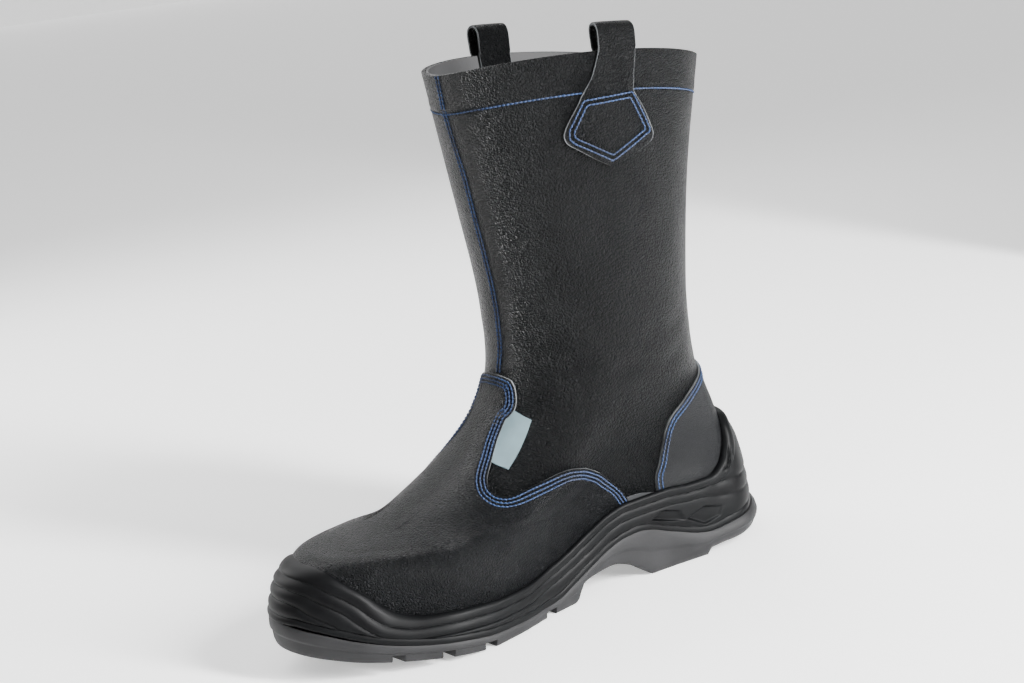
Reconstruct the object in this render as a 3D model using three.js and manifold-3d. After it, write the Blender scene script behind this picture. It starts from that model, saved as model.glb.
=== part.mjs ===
import * as THREE from 'three';
import Module from 'manifold-3d';

// Pull-on safety boot for the left foot, empty and standing on its sole.
// Millimetres. +X points to the toe, +Y to the outer side of the foot, +Z up, the floor is z = 0.

// Driving sizes.
const SOLE_LENGTH = 303.4;      // heel to toe, without the flare at the heel
const HEEL_BULGE = 5;           // midsole behind that length
const HEEL_FLARE = 9.5;         // outsole behind that length
const TOE_BULGE = 4.6;           // both sole layers around the toe
const BALL_WIDTH = 111;         // widest place of the sole
const SOLE_HEIGHT = 48.4;       // floor to the midsole's top edge, beside the heel
const INSTEP_HEIGHT = 138;      // floor to the crook between foot and shaft
const SHAFT_HEIGHT = 305;       // floor to the front of the collar
const ANKLE_HALF_WIDTH = 47;    // half the shaft's width at the crook
const COLLAR_HALF_WIDTH = 59.6; // half the collar's width
const COLLAR_FRONT_RISE = 9;    // sides of the collar over its front
const COLLAR_BACK_RISE = 8.7;   // sides of the collar over its back
const WALL = 2.4;               // upper leather with its lining
const OVERLAY = 1.6;            // vamp and counter leather
const GAP = 0.3;                // between pieces that meet
const EDGE = 2.4;               // thickness of the midsole's top edge
const INSOLE_THICKNESS = 3.5;
const FACING_DEPTH = 24;        // inner band below the rim
const FACING_THICKNESS = 1.2;
const STRAP_THICKNESS = 2;
const OUTER_LOOP_RISE = 14.5;   // pull loops over the rim
const INNER_LOOP_RISE = 17;
const LOOP_SWELL = 0.9;         // strap off the rim on each side, just above it
const OUTER_LOOP_PLACE = 0.2735; // pull loops along the sole, shares of its length
const INNER_LOOP_PLACE = 0.3030;
const INNER_LEG = 20;           // strap inside the collar
const PATCH_HEIGHT = 60.8;      // sewn patch of a pull loop, tip to rim
const PATCH_WIDTH = 52.7;
const LUG_DEPTH = 4.5;
const HEEL_LUG_CAP = 8.5;       // tread height the grooves follow at the most
const CHANNEL_WIDTH = 7;        // groove along the middle of the tread
const GROOVE_START = 5;         // cross grooves off the middle line
const SOLE_CORNER = 1.6;        // outsole's lower edge, drawn in
const RIB_GROOVE = 1.1;         // depth of the grooves along the midsole's wall
const RIB_GROOVE_HALF = 1.9;    // half their width
const CUP_BEAD = 0.9;           // bead along the edge of the heel cup
const CUP_BEAD_WIDTH = 6;
const TAB_THICKNESS = 0.8;

// Rows of the upper that the two overlays are cut from.
const VAMP_LEVELS = 10;
const COUNTER_LEVELS = 9;

// Mesh fineness.
const AROUND = 48;              // points around the upper
const STEPS = 2;                // levels in each row of the upper
const SOLE_AROUND = 72;         // points around the sole
const STRAP_COLUMNS = 6;        // points across a strap
const LOOP_TURNS = 10;          // steps over the rim in a pull loop

function named(columns, rows) {
  return rows.map((row) => Object.fromEntries(columns.map((column, i) => [column, row[i]])));
}

// Sole outline: half width is sin(phi) times the entry, share of half the ball width.
const OUTLINE = named(['along', 'outer', 'inner'], [
  [0.00, 1.369, 1.369],
  [0.05, 1.333, 1.333],
  [0.12, 1.063, 1.063],
  [0.22, 0.850, 0.850],
  [0.32, 0.755, 0.712],
  [0.42, 0.712, 0.638],
  [0.52, 0.786, 0.714],
  [0.62, 0.978, 0.897],
  [0.70, 1.124, 1.054],
  [0.78, 1.211, 1.121],
  [0.86, 1.192, 1.085],
  [0.93, 1.175, 1.150],
  [1.00, 1.290, 1.330],
]);

// Heights along the sole, shares of the sole height: tread, parting between the two sole
// layers, foot bed.
const SOLE_HEIGHTS = named(['along', 'tread', 'parting', 'bed'], [
  [0.000, 0.1343, 0.4339, 0.6405],
  [0.033, 0.1033, 0.4132, 0.6198],
  [0.079, 0.0930, 0.3636, 0.5888],
  [0.150, 0.0723, 0.3099, 0.5682],
  [0.160, 0, 0.3140, 0.5640],
  [0.237, 0, 0.4545, 0.5888],
  [0.287, 0, 0.5682, 0.6508],
  [0.312, 0.1033, 0.5909, 0.6777],
  [0.345, 0.2273, 0.5744, 0.6694],
  [0.376, 0.2789, 0.5207, 0.6322],
  [0.420, 0.2438, 0.3967, 0.5620],
  [0.447, 0.1942, 0.3182, 0.5000],
  [0.462, 0.0413, 0.2769, 0.4711],
  [0.472, 0, 0.2521, 0.4504],
  [0.520, 0, 0.1529, 0.3636],
  [0.580, 0, 0.1322, 0.3161],
  [0.675, 0, 0.1570, 0.3161],
  [0.742, 0.0413, 0.2190, 0.3678],
  [0.800, 0.0909, 0.2769, 0.4174],
  [0.837, 0.1281, 0.3264, 0.4628],
  [0.880, 0.1756, 0.4008, 0.5372],
  [0.920, 0.2273, 0.4917, 0.6302],
  [0.960, 0.2934, 0.5992, 0.7128],
  [1.000, 0.3616, 0.7025, 0.7748],
]);

// Top edge of the midsole along the upper, and the line its grooves keep their distance from;
// they run on below the heel cup. Shares of the sole height.
const EDGE_LINE = named(['along', 'height', 'line'], [
  [0.000, 1.6116, 0.9669],
  [0.058, 1.5909, 0.9669],
  [0.074, 1.4876, 0.9669],
  [0.085, 1.2603, 0.9669],
  [0.102, 1.0744, 0.9669],
  [0.136, 0.9669, 0.9669],
  [0.182, 0.9690, 0.9690],
  [0.237, 1.0000, 1.0000],
  [0.330, 0.9938, 0.9938],
  [0.376, 0.9339, 0.9339],
  [0.423, 0.8058, 0.8058],
  [0.473, 0.6736, 0.6736],
  [0.524, 0.5764, 0.5764],
  [0.595, 0.5000, 0.5000],
  [0.643, 0.5041, 0.5041],
  [0.702, 0.5331, 0.5331],
  [0.751, 0.5620, 0.5620],
  [0.794, 0.5868, 0.5868],
  [0.834, 0.6653, 0.6653],
  [0.857, 0.7769, 0.7769],
  [0.879, 0.9215, 0.9215],
  [0.911, 1.1157, 1.1157],
  [0.928, 1.2355, 1.2355],
  [0.938, 1.2769, 1.2769],
  [0.960, 1.2810, 1.2810],
]);

// Sections of the upper from the bed to the collar, each a tilted plane.
// Lengths are shares of the sole length, foot heights of the instep height,
// shaft heights of the way from instep to collar, half widths of their own size,
// foot is the share of the sole's outline in the section.
const FOOT_ROWS = named(['backX', 'backZ', 'frontX', 'frontZ', 'width', 'inset', 'foot'], [
  [0.0264, 0.145, 0.9620, 0.246, 1.06, 0.150, 1.00],
  [0.0198, 0.246, 0.9655, 0.362, 1.06, 0.107, 1.00],
  [0.0165, 0.319, 0.9425, 0.442, 1.06, 0.116, 1.00],
  [0.0200, 0.391, 0.8850, 0.454, 1.06, 0.152, 1.00],
  [0.0260, 0.464, 0.7830, 0.482, 1.06, 0.170, 0.90],
  [0.0385, 0.536, 0.6800, 0.577, 1.04, 0.196, 0.68],
  [0.0530, 0.630, 0.5925, 0.694, 1.013, 0.214, 0.40],
  [0.0680, 0.732, 0.5300, 0.832, 0.981, 0.214, 0.16],
  [0.0775, 0.848, 0.5005, 0.975, 0.991, 0.214, 0.03],
]);
const SHAFT_ROWS = named(['backX', 'backZ', 'frontX', 'frontZ', 'width'], [
  [0.0815, -0.012, 0.4930, 0.111, 0.07],
  [0.0761, 0.168, 0.4945, 0.285, 0.16],
  [0.0465, 0.528, 0.5125, 0.577, 0.52],
  [-0.0023, 0.893, 0.5385, 0.988, 1.00],
]);

// Edge of the vamp on the side of the foot, as seen from the side: shares of the sole length
// and the instep height.
const VAMP_EDGE = named(['along', 'height'], [
  [0.5063, 0.9652],
  [0.4979, 0.9418],
  [0.4993, 0.8921],
  [0.5100, 0.8329],
  [0.5204, 0.8119],
  [0.5309, 0.7944],
  [0.5538, 0.7307],
  [0.5779, 0.6680],
  [0.5979, 0.6198],
  [0.6078, 0.5718],
  [0.5994, 0.5488],
  [0.5780, 0.5447],
  [0.5298, 0.5646],
  [0.4746, 0.5801],
  [0.4428, 0.5721],
  [0.4058, 0.5411],
  [0.3665, 0.4823],
  [0.3378, 0.4199],
  [0.3206, 0.3556],
  [0.3130, 0.2899],
]);

// Edge of the heel counter, in the same shares.
const COUNTER_EDGE = named(['along', 'height'], [
  [0.0600, 0.8116],
  [0.1104, 0.7500],
  [0.1640, 0.6957],
  [0.1980, 0.6510],
  [0.2159, 0.5989],
  [0.2246, 0.5260],
  [0.2354, 0.4372],
  [0.2486, 0.3647],
  [0.2560, 0.2899],
]);

// Strap of a pull loop from the tip of its patch up to the rim: distance below the rim as a
// share of the patch height, the others as shares of the patch width.
const STRAP_ROWS = named(['below', 'forward', 'half'], [
  [1.0000, 0.1765, 0.0285],
  [0.9786, 0.1499, 0.1025],
  [0.9128, 0.0939, 0.2799],
  [0.8553, 0.0655, 0.4013],
  [0.8092, 0.0854, 0.4554],
  [0.7368, 0.1452, 0.5000],
  [0.6826, 0.1698, 0.4981],
  [0.6250, 0.1774, 0.4772],
  [0.5592, 0.1746, 0.4402],
  [0.4770, 0.1698, 0.3824],
  [0.3783, 0.1660, 0.3121],
  [0.2961, 0.1309, 0.2827],
  [0.2138, 0.0892, 0.2543],
  [0.0987, 0.0484, 0.2324],
  [0.0000, 0.0190, 0.2182],
]);

// Corners of the side tab, next to the vamp's edge, in the same shares.
const TAB_CORNERS = named(['along', 'height'], [
  [0.5098, 0.8265],
  [0.4947, 0.7941],
  [0.5634, 0.6319],
  [0.5791, 0.6639],
]);

// Cross grooves of the tread: place at the sole's edge, width and slant as shares of the
// channel width, reach as a share of half the sole's width.
const GROOVES = named(['along', 'width', 'slant', 'reach'], [
  [0.095, 0.71, 0.57, 0.55],
  [0.215, 0.71, 0.71, 0.55],
  [0.536, 1.14, -0.71, 1.30],
  [0.613, 0.79, -0.86, 0.75],
  [0.690, 1.07, -1.00, 1.30],
  [0.774, 0.93, -1.14, 1.30],
  [0.861, 0.86, -1.29, 1.30],
  [0.940, 0.71, -1.43, 0.45],
]);

// The outsole's wall from the tread up to the parting: inset as a share of the sole corner,
// share of the height.
const OUTSOLE_WALL = named(['inset', 'share'], [
  [1.00, 0.00],
  [0.38, 0.18],
  [0.25, 0.50],
  [-0.31, 0.62],
  [0.00, 1.00],
]);

// Stretches of the channel along the middle of the tread, shares of the sole length.
const CHANNELS = named(['from', 'to'], [
  [0.170, 0.280],
  [0.490, 0.660],
  [0.658, 0.760],
  [0.758, 0.860],
  [0.858, 0.940],
]);

// Grooves of the midsole's wall, each a share of the sole height below the line; the last is
// on the toe alone.
const WALL_GROOVES = [0.107, 0.215, 0.345];
const BASE_GROOVE = 0.068;      // the lowest groove, above the parting

// Along the sole: where the toe's bumper sets in and is full, where the heel's cup goes out.
const BUMPER_START = [0.86, 0.94];
const CUP_END = [0.1, 0.14];

// Exponent by which the midsole's wall leans in: less on a tall wall, counted in sole heights,
// and less again on the toe.
const LEAN = 2.2;
const TALL_LEAN = 0.5;
const TALL_WALL = [0.29, 0.7];
const TOE_LEAN = 0.6;

// Upper rows with all sizes in millimetres.
function upperRows() {
  const rise = SHAFT_HEIGHT - INSTEP_HEIGHT;
  const foot = FOOT_ROWS.map((row) => ({
    backX: row.backX * SOLE_LENGTH,
    backZ: row.backZ * INSTEP_HEIGHT,
    frontX: row.frontX * SOLE_LENGTH,
    frontZ: row.frontZ * INSTEP_HEIGHT,
    half: row.width * ANKLE_HALF_WIDTH,
    inset: row.inset,
    foot: row.foot,
  }));
  const shaft = SHAFT_ROWS.map((row) => ({
    backX: row.backX * SOLE_LENGTH,
    backZ: INSTEP_HEIGHT + row.backZ * rise,
    frontX: row.frontX * SOLE_LENGTH,
    frontZ: INSTEP_HEIGHT + row.frontZ * rise,
    half: ANKLE_HALF_WIDTH + row.width * (COLLAR_HALF_WIDTH - ANKLE_HALF_WIDTH),
    inset: 0.214,
    foot: 0,
  }));
  return foot.concat(shaft);
}
const ROWS = upperRows();
const TOP = ROWS.length - 1;
const BOX_START = 6;            // row from which the sections are fully boxy
const BOXINESS = 0.12;
const HEEL_ZONE = [0.45, 0.95]; // where the sole starts to stand out at its ends, and fully
const TOE_ZONE = [0.5, 0.9];

// Monotone cubic curve through a table.
function curve(rows, key, value, at) {
  const last = rows.length - 1;
  const t = Math.min(Math.max(at, rows[0][key]), rows[last][key]);
  let i = 0;
  while (i < last - 1 && rows[i + 1][key] <= t) i += 1;
  const width = (j) => rows[j + 1][key] - rows[j][key];
  const slope = (j) => (rows[j + 1][value] - rows[j][value]) / width(j);
  const tangent = (j) => {
    if (j === 0) return slope(0);
    if (j === last) return slope(last - 1);
    const before = slope(j - 1);
    const after = slope(j);
    if (before * after <= 0) return 0;
    const a = 2 * width(j) + width(j - 1);
    const b = width(j) + 2 * width(j - 1);
    return (a + b) / (a / before + b / after);
  };
  const h = width(i);
  const s = (t - rows[i][key]) / h;
  const start = (1 + 2 * s) * (1 - s) * (1 - s) * rows[i][value] + s * (1 - s) * (1 - s) * h * tangent(i);
  const end = s * s * (3 - 2 * s) * rows[i + 1][value] + s * s * (s - 1) * h * tangent(i + 1);
  return start + end;
}

const soleZ = (name, x) => curve(SOLE_HEIGHTS, 'along', name, x / SOLE_LENGTH) * SOLE_HEIGHT;
const edgeZ = (name, x) => curve(EDGE_LINE, 'along', name, x / SOLE_LENGTH) * SOLE_HEIGHT;

// Half width of the sole at an angle around it; phi 0 is the toe, pi the heel.
function soleHalf(phi) {
  const u = (1 + Math.cos(phi)) / 2;
  const side = Math.sin(phi) >= 0 ? 'outer' : 'inner';
  return Math.abs(Math.sin(phi)) * curve(OUTLINE, 'along', side, u) * BALL_WIDTH / 2;
}

function soleEdge(phi, inset) {
  const u = (1 + Math.cos(phi)) / 2;
  const y = Math.sign(Math.sin(phi)) * soleHalf(phi);
  const p = new THREE.Vector2(SOLE_LENGTH * u, Math.abs(Math.sin(phi)) < 1e-9 ? 0 : y);
  if (inset === 0) return p;
  const a = soleEdge(phi - 0.01, 0);
  const b = soleEdge(phi + 0.01, 0);
  const n = new THREE.Vector2(b.y - a.y, a.x - b.x).normalize();
  return p.addScaledVector(n, -inset);
}

// How far a sole layer stands out at an angle: its bulge at the toe and its flare at the heel.
function bulge(phi, heel) {
  const atHeel = THREE.MathUtils.smoothstep(-Math.cos(phi), ...HEEL_ZONE);
  const atToe = THREE.MathUtils.smoothstep(Math.cos(phi), ...TOE_ZONE);
  return heel * atHeel + TOE_BULGE * atToe;
}

// One section of the upper at an angle.
function sectionPoint(index, phi) {
  const row = ROWS[index];
  const u = (1 + Math.cos(phi)) / 2;
  const s = Math.sin(phi);
  const a = Math.abs(s);
  const box = index >= BOX_START ? BOXINESS : BOXINESS * index / BOX_START / 2;
  const foot = soleHalf(phi) * (1 - row.inset);
  const y = row.foot * foot + (1 - row.foot) * row.half * a ** (1 - box);
  const x = row.backX + (row.frontX - row.backX) * u;
  const plane = row.backZ + (row.frontZ - row.backZ) * u;
  const z = index === 0 ? soleZ('bed', x) + GAP : plane;
  return [x, a < 1e-9 ? 0 : Math.sign(s) * y, z];
}

// Outer surface of the upper: level runs from 0 at the bed to TOP at the collar.
function surface(level, phi) {
  const clamped = Math.min(Math.max(level, 0), TOP);
  const i = Math.min(Math.floor(clamped), TOP - 1);
  const t = clamped - i;
  const p1 = sectionPoint(i, phi);
  const p2 = sectionPoint(i + 1, phi);
  const p0 = i > 0 ? sectionPoint(i - 1, phi) : p1.map((v, k) => 2 * v - p2[k]);
  const p3 = i < TOP - 1 ? sectionPoint(i + 2, phi) : p2.map((v, k) => 2 * v - p1[k]);
  const p = p1.map((v, k) => {
    const cubic = 3 * v - p0[k] - 3 * p2[k] + p3[k];
    const square = 2 * p0[k] - 5 * v + 4 * p2[k] - p3[k];
    return 0.5 * (2 * v + (p2[k] - p0[k]) * t + square * t * t + cubic * t * t * t);
  });
  const u = (1 + Math.cos(phi)) / 2;
  const high = Math.max(0, (clamped - (TOP - 2)) / 2);
  const rise = COLLAR_FRONT_RISE * u + COLLAR_BACK_RISE * (1 - u);
  return new THREE.Vector3(p[0], p[1], p[2] + high * rise * Math.abs(Math.sin(phi)) ** 1.5);
}

function surfaceNormal(level, phi) {
  const a = surface(level, phi - 0.03);
  const b = surface(level, phi + 0.03);
  const c = surface(Math.max(level - 0.05, 0), phi);
  const d = surface(Math.min(level + 0.05, TOP), phi);
  return b.sub(a).cross(d.sub(c)).normalize();
}

// The normal lies level at the bed and at the rim, so offset sheets end at the same height.
function offsetPoint(level, phi, offset) {
  const n = surfaceNormal(level, phi);
  const nearBed = Math.max(0, 1 - level);
  const nearRim = Math.max(0, level - (TOP - 1));
  n.z *= 1 - Math.max(nearBed, nearRim);
  n.normalize();
  return surface(level, phi).addScaledVector(n, offset);
}

function angles(count) {
  return Array.from({ length: count }, (_, i) => (2 * Math.PI * i) / count);
}

function levelsUpTo(level) {
  const count = Math.round(level * STEPS);
  return Array.from({ length: count + 1 }, (_, i) => i / STEPS);
}

function ring(level, offset) {
  return angles(AROUND).map((phi) => offsetPoint(level, phi, offset));
}

// A point on the side of the upper with a given x and height; side is +1 outer, -1 inner.
function sidePoint(x, z, side, offset) {
  let low = 0;
  let high = TOP;
  let phi = 0;
  for (let k = 0; k < 40; k += 1) {
    const level = (low + high) / 2;
    const back = surface(level, Math.PI).x;
    const front = surface(level, 0).x;
    const u = Math.min(Math.max((x - back) / (front - back), 0), 1);
    phi = side * Math.acos(2 * u - 1);
    if (surface(level, phi).z > z) high = level;
    else low = level;
  }
  return offsetPoint((low + high) / 2, phi, offset);
}

// Closed solids from rings of points.
function capTriangles(start, count, up) {
  const tris = [];
  const add = (a, b, c) => tris.push(up ? [a, b, c] : [a, c, b]);
  for (let i = 0; i < count / 2; i += 1) {
    const a = start + i;
    const b = start + i + 1;
    const c = start + count - i - 1;
    const d = start + ((count - i) % count);
    if (b !== c) add(a, b, c);
    if (a !== d) add(a, c, d);
  }
  return tris;
}

function joinRings(lower, upper, count) {
  const tris = [];
  for (let i = 0; i < count; i += 1) {
    const j = (i + 1) % count;
    tris.push([lower + i, lower + j, upper + j]);
    tris.push([lower + i, upper + j, upper + i]);
  }
  return tris;
}

function stack(rings) {
  const count = rings[0].length;
  const tris = capTriangles(0, count, false);
  for (let k = 0; k + 1 < rings.length; k += 1) {
    tris.push(...joinRings(k * count, (k + 1) * count, count));
  }
  tris.push(...capTriangles((rings.length - 1) * count, count, true));
  return { points: rings.flat(), tris };
}

function tube(outer, inner) {
  const rings = outer.concat(inner.slice().reverse());
  const count = rings[0].length;
  const tris = [];
  for (let k = 0; k < rings.length; k += 1) {
    tris.push(...joinRings(k * count, ((k + 1) % rings.length) * count, count));
  }
  return { points: rings.flat(), tris };
}

// Closed solid between two grids of the same size, rows of columns.
function plate(front, back) {
  const rows = front.length;
  const columns = front[0].length;
  const points = front.flat().concat(back.flat());
  const at = (layer, r, c) => layer * rows * columns + r * columns + c;
  const tris = [];
  const quad = (a, b, c, d) => tris.push([a, b, c], [a, c, d]);
  for (let r = 0; r + 1 < rows; r += 1) {
    for (let c = 0; c + 1 < columns; c += 1) {
      quad(at(0, r, c), at(0, r, c + 1), at(0, r + 1, c + 1), at(0, r + 1, c));
      quad(at(1, r, c), at(1, r + 1, c), at(1, r + 1, c + 1), at(1, r, c + 1));
    }
  }
  for (let c = 0; c + 1 < columns; c += 1) {
    quad(at(0, 0, c), at(1, 0, c), at(1, 0, c + 1), at(0, 0, c + 1));
    quad(at(0, rows - 1, c), at(0, rows - 1, c + 1), at(1, rows - 1, c + 1), at(1, rows - 1, c));
  }
  for (let r = 0; r + 1 < rows; r += 1) {
    quad(at(0, r, 0), at(0, r + 1, 0), at(1, r + 1, 0), at(1, r, 0));
    const c = columns - 1;
    quad(at(0, r, c), at(1, r, c), at(1, r + 1, c), at(0, r + 1, c));
  }
  return { points, tris };
}

// A side-view polygon carried across the whole width.
function prism(polygon) {
  const flat = polygon.map((p) => new THREE.Vector2(p.x, p.z));
  if (THREE.ShapeUtils.area(flat) < 0) flat.reverse();
  const faces = THREE.ShapeUtils.triangulateShape(flat, []);
  const n = flat.length;
  const points = [-BALL_WIDTH, BALL_WIDTH].flatMap((y) => flat.map((p) => new THREE.Vector3(p.x, y, p.y)));
  const tris = [];
  faces.forEach(([a, b, c]) => tris.push([a, b, c], [n + a, n + c, n + b]));
  for (let i = 0; i < n; i += 1) {
    const j = (i + 1) % n;
    tris.push([i, n + j, j], [i, n + i, n + j]);
  }
  return { points, tris };
}

const wasm = await Module();
wasm.setup();

function solid({ points, tris }) {
  const vertProperties = new Float32Array(points.flatMap((p) => [p.x, p.y, p.z]));
  const triVerts = new Uint32Array(tris.flat());
  return new wasm.Manifold(new wasm.Mesh({ numProp: 3, vertProperties, triVerts }));
}

// Closed volume of the upper, grown by an offset, with its floor on the bed.
function filledUpper(offset, drop) {
  const rings = levelsUpTo(TOP).map((level) => ring(level, offset));
  rings[0].forEach((p) => {
    p.z -= drop;
  });
  return solid(stack(rings));
}

function sheet(offset, top) {
  const levels = levelsUpTo(top);
  const outer = levels.map((level) => ring(level, offset + OVERLAY));
  const inner = levels.map((level) => ring(level, offset));
  return solid(tube(outer, inner));
}

// Moves an open edge line sideways in the side view.
function shiftLine(line, distance) {
  return line.map((p, i) => {
    const a = line[Math.max(i - 1, 0)];
    const b = line[Math.min(i + 1, line.length - 1)];
    const n = new THREE.Vector2(b.z - a.z, a.x - b.x).normalize();
    return { x: p.x + n.x * distance, z: p.z + n.y * distance };
  });
}

function inMillimetres(rows) {
  return rows.map((row) => ({ x: row.along * SOLE_LENGTH, z: row.height * INSTEP_HEIGHT }));
}

function vampPolygon(grow) {
  const line = shiftLine(inMillimetres(VAMP_EDGE), grow);
  const last = line[line.length - 1];
  const far = SOLE_LENGTH * 1.4;
  const low = -SOLE_HEIGHT;
  return line.concat([{ x: last.x, z: low }, { x: far, z: low }, { x: far, z: INSTEP_HEIGHT * 1.2 }]);
}

function counterPolygon(grow) {
  const line = shiftLine(inMillimetres(COUNTER_EDGE), -grow);
  const last = line[line.length - 1];
  const far = -SOLE_LENGTH * 0.4;
  const low = -SOLE_HEIGHT;
  return line.concat([{ x: last.x, z: low }, { x: far, z: low }, { x: far, z: line[0].z * 1.05 }]);
}

function makeUpper() {
  const levels = levelsUpTo(TOP);
  const outer = levels.map((level) => ring(level, 0));
  const inner = levels.map((level) => ring(level, -WALL));
  return solid(tube(outer, inner));
}

function makeFacing() {
  const rowHeight = surface(TOP, 0).z - surface(TOP - 1, 0).z;
  const count = 3;
  const share = FACING_DEPTH / rowHeight;
  const levels = Array.from({ length: count }, (_, i) => TOP - share + (share * i) / (count - 1));
  const outer = levels.map((level) => ring(level, -WALL - GAP));
  const inner = levels.map((level) => ring(level, -WALL - GAP - FACING_THICKNESS));
  return solid(tube(outer, inner));
}

function makeInsole() {
  const low = ring(0, -WALL - 2 * GAP);
  const high = low.map((p) => p.clone().setZ(p.z + INSOLE_THICKNESS));
  return solid(stack([low, high]));
}

// Outer wall of the midsole: share runs from the parting to the top edge.
function edgeLevel(phi) {
  let low = 0;
  let high = TOP / 2;
  for (let k = 0; k < 30; k += 1) {
    const level = (low + high) / 2;
    const p = surface(level, phi);
    if (p.z > edgeZ('height', p.x)) high = level;
    else low = level;
  }
  return (low + high) / 2;
}

// The top edge and the line of the grooves on the wall laid flat: length around it, height.
function flatLines(levels) {
  const tops = angles(SOLE_AROUND).map((phi, i) => surface(levels[i], phi));
  const lengths = tops.map((p, i) => {
    const next = tops[(i + 1) % tops.length];
    return Math.hypot(next.x - p.x, next.y - p.y);
  });
  const around = lengths.reduce((sum, length) => sum + length, 0);
  let s = 0;
  const at = lengths.map((length) => {
    s += length;
    return s - length;
  });
  const line = (name) => tops.map((p, i) => new THREE.Vector2(at[i], edgeZ(name, p.x)));
  return { around, edge: line('height'), line: line('line') };
}

// Distance of a point of the flat wall to one of those lines, negative above it.
function below(line, around, index, z) {
  const here = new THREE.Vector2(line[index].x, z);
  const wrap = (v) => v - around * Math.round(v / around);
  const distances = line.map((a, i) => {
    const b = line[(i + 1) % line.length];
    const start = new THREE.Vector2(wrap(a.x - here.x), a.y - here.y);
    const way = new THREE.Vector2(wrap(b.x - a.x), b.y - a.y);
    const t = THREE.MathUtils.clamp(-start.dot(way) / way.lengthSq(), 0, 1);
    return start.addScaledVector(way, t).length();
  });
  return Math.min(...distances) * Math.sign(line[index].y - z);
}

// How far the wall stands out there: grooves along its length, a bead around the heel cup.
function relief(flat, index, z, along, above) {
  const notch = (distance) => -RIB_GROOVE * Math.max(0, 1 - Math.abs(distance) / RIB_GROOVE_HALF);
  const toe = THREE.MathUtils.smoothstep(along, ...BUMPER_START);
  const heel = 1 - THREE.MathUtils.smoothstep(along, ...CUP_END);
  const under = below(flat.line, flat.around, index, z);
  const grooves = WALL_GROOVES.map((share, k) => notch(under - share * SOLE_HEIGHT) * (k < 2 ? 1 : toe));
  const base = notch(above - BASE_GROOVE * SOLE_HEIGHT);
  const fromEdge = below(flat.edge, flat.around, index, z);
  const bead = 1 - THREE.MathUtils.smoothstep(fromEdge, 0.7 * CUP_BEAD_WIDTH, CUP_BEAD_WIDTH);
  return grooves.reduce((sum, depth) => sum + depth, base) + heel * CUP_BEAD * bead;
}

function midsoleWall(phi, share, level, index, flat) {
  const foot = soleEdge(phi, -bulge(phi, HEEL_BULGE));
  const low = soleZ('parting', foot.x) + GAP;
  const n = surfaceNormal(level, phi).setZ(0).normalize();
  const cover = OVERLAY + 2 * GAP + EDGE;
  const top = surface(level, phi).addScaledVector(n, cover);
  const height = top.z - low;
  const z = low + height * share;
  let from = 0;
  let to = level;
  for (let k = 0; k < 24; k += 1) {
    const mid = (from + to) / 2;
    if (surface(mid, phi).z > z) to = mid;
    else from = mid;
  }
  const near = surface(from, phi).addScaledVector(n, cover);
  const along = foot.x / SOLE_LENGTH;
  const tall = THREE.MathUtils.smoothstep(height / SOLE_HEIGHT, ...TALL_WALL);
  const toe = THREE.MathUtils.smoothstep(along, ...BUMPER_START);
  const weight = share ** (LEAN - TALL_LEAN * tall - TOE_LEAN * toe);
  const inner = share > 0 && share < 1;
  const out = inner ? relief(flat, index, z, along, z - low) : 0;
  const x = foot.x + (near.x - foot.x) * weight + n.x * out;
  const y = foot.y + (near.y - foot.y) * weight + n.y * out;
  return new THREE.Vector3(x, y, z);
}

function makeMidsole() {
  const all = angles(SOLE_AROUND);
  const levels = all.map(edgeLevel);
  const flat = flatLines(levels);
  const shares = [0, 0.08, 0.16, 0.24, 0.32, 0.41, 0.5, 0.59, 0.68, 0.77, 0.86, 0.94, 1];
  const rings = shares.map((share) => all.map((phi, i) => midsoleWall(phi, share, levels[i], i, flat)));
  rings.push(all.map((phi, i) => {
    const n = surfaceNormal(levels[i], phi);
    return surface(levels[i], phi).addScaledVector(n, -WALL);
  }));
  const block = solid(stack(rings));
  const plain = filledUpper(GAP, GAP);
  const covered = filledUpper(OVERLAY + 2 * GAP, GAP);
  const vampRoom = covered.intersect(solid(prism(vampPolygon(GAP))));
  const counterRoom = covered.intersect(solid(prism(counterPolygon(GAP))));
  return block.subtract(plain).subtract(vampRoom).subtract(counterRoom);
}

// A straight bar below the tread; its top follows the tread's height plus the lug depth.
function grooveBar(x0, y0, x1, y1, width) {
  const along = new THREE.Vector2(x1 - x0, y1 - y0).normalize();
  const across = new THREE.Vector2(-along.y, along.x).multiplyScalar(width / 2);
  const corners = [[x0, y0, 1], [x1, y1, 1], [x1, y1, -1], [x0, y0, -1]];
  const base = corners.map(([x, y, s]) => new THREE.Vector2(x - across.x * s, y - across.y * s));
  const low = base.map((p) => new THREE.Vector3(p.x, p.y, -SOLE_HEIGHT));
  const depth = (p) => Math.min(soleZ('tread', p.x), HEEL_LUG_CAP) + LUG_DEPTH;
  const high = base.map((p) => new THREE.Vector3(p.x, p.y, depth(p)));
  return solid(stack([low, high]));
}

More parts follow.
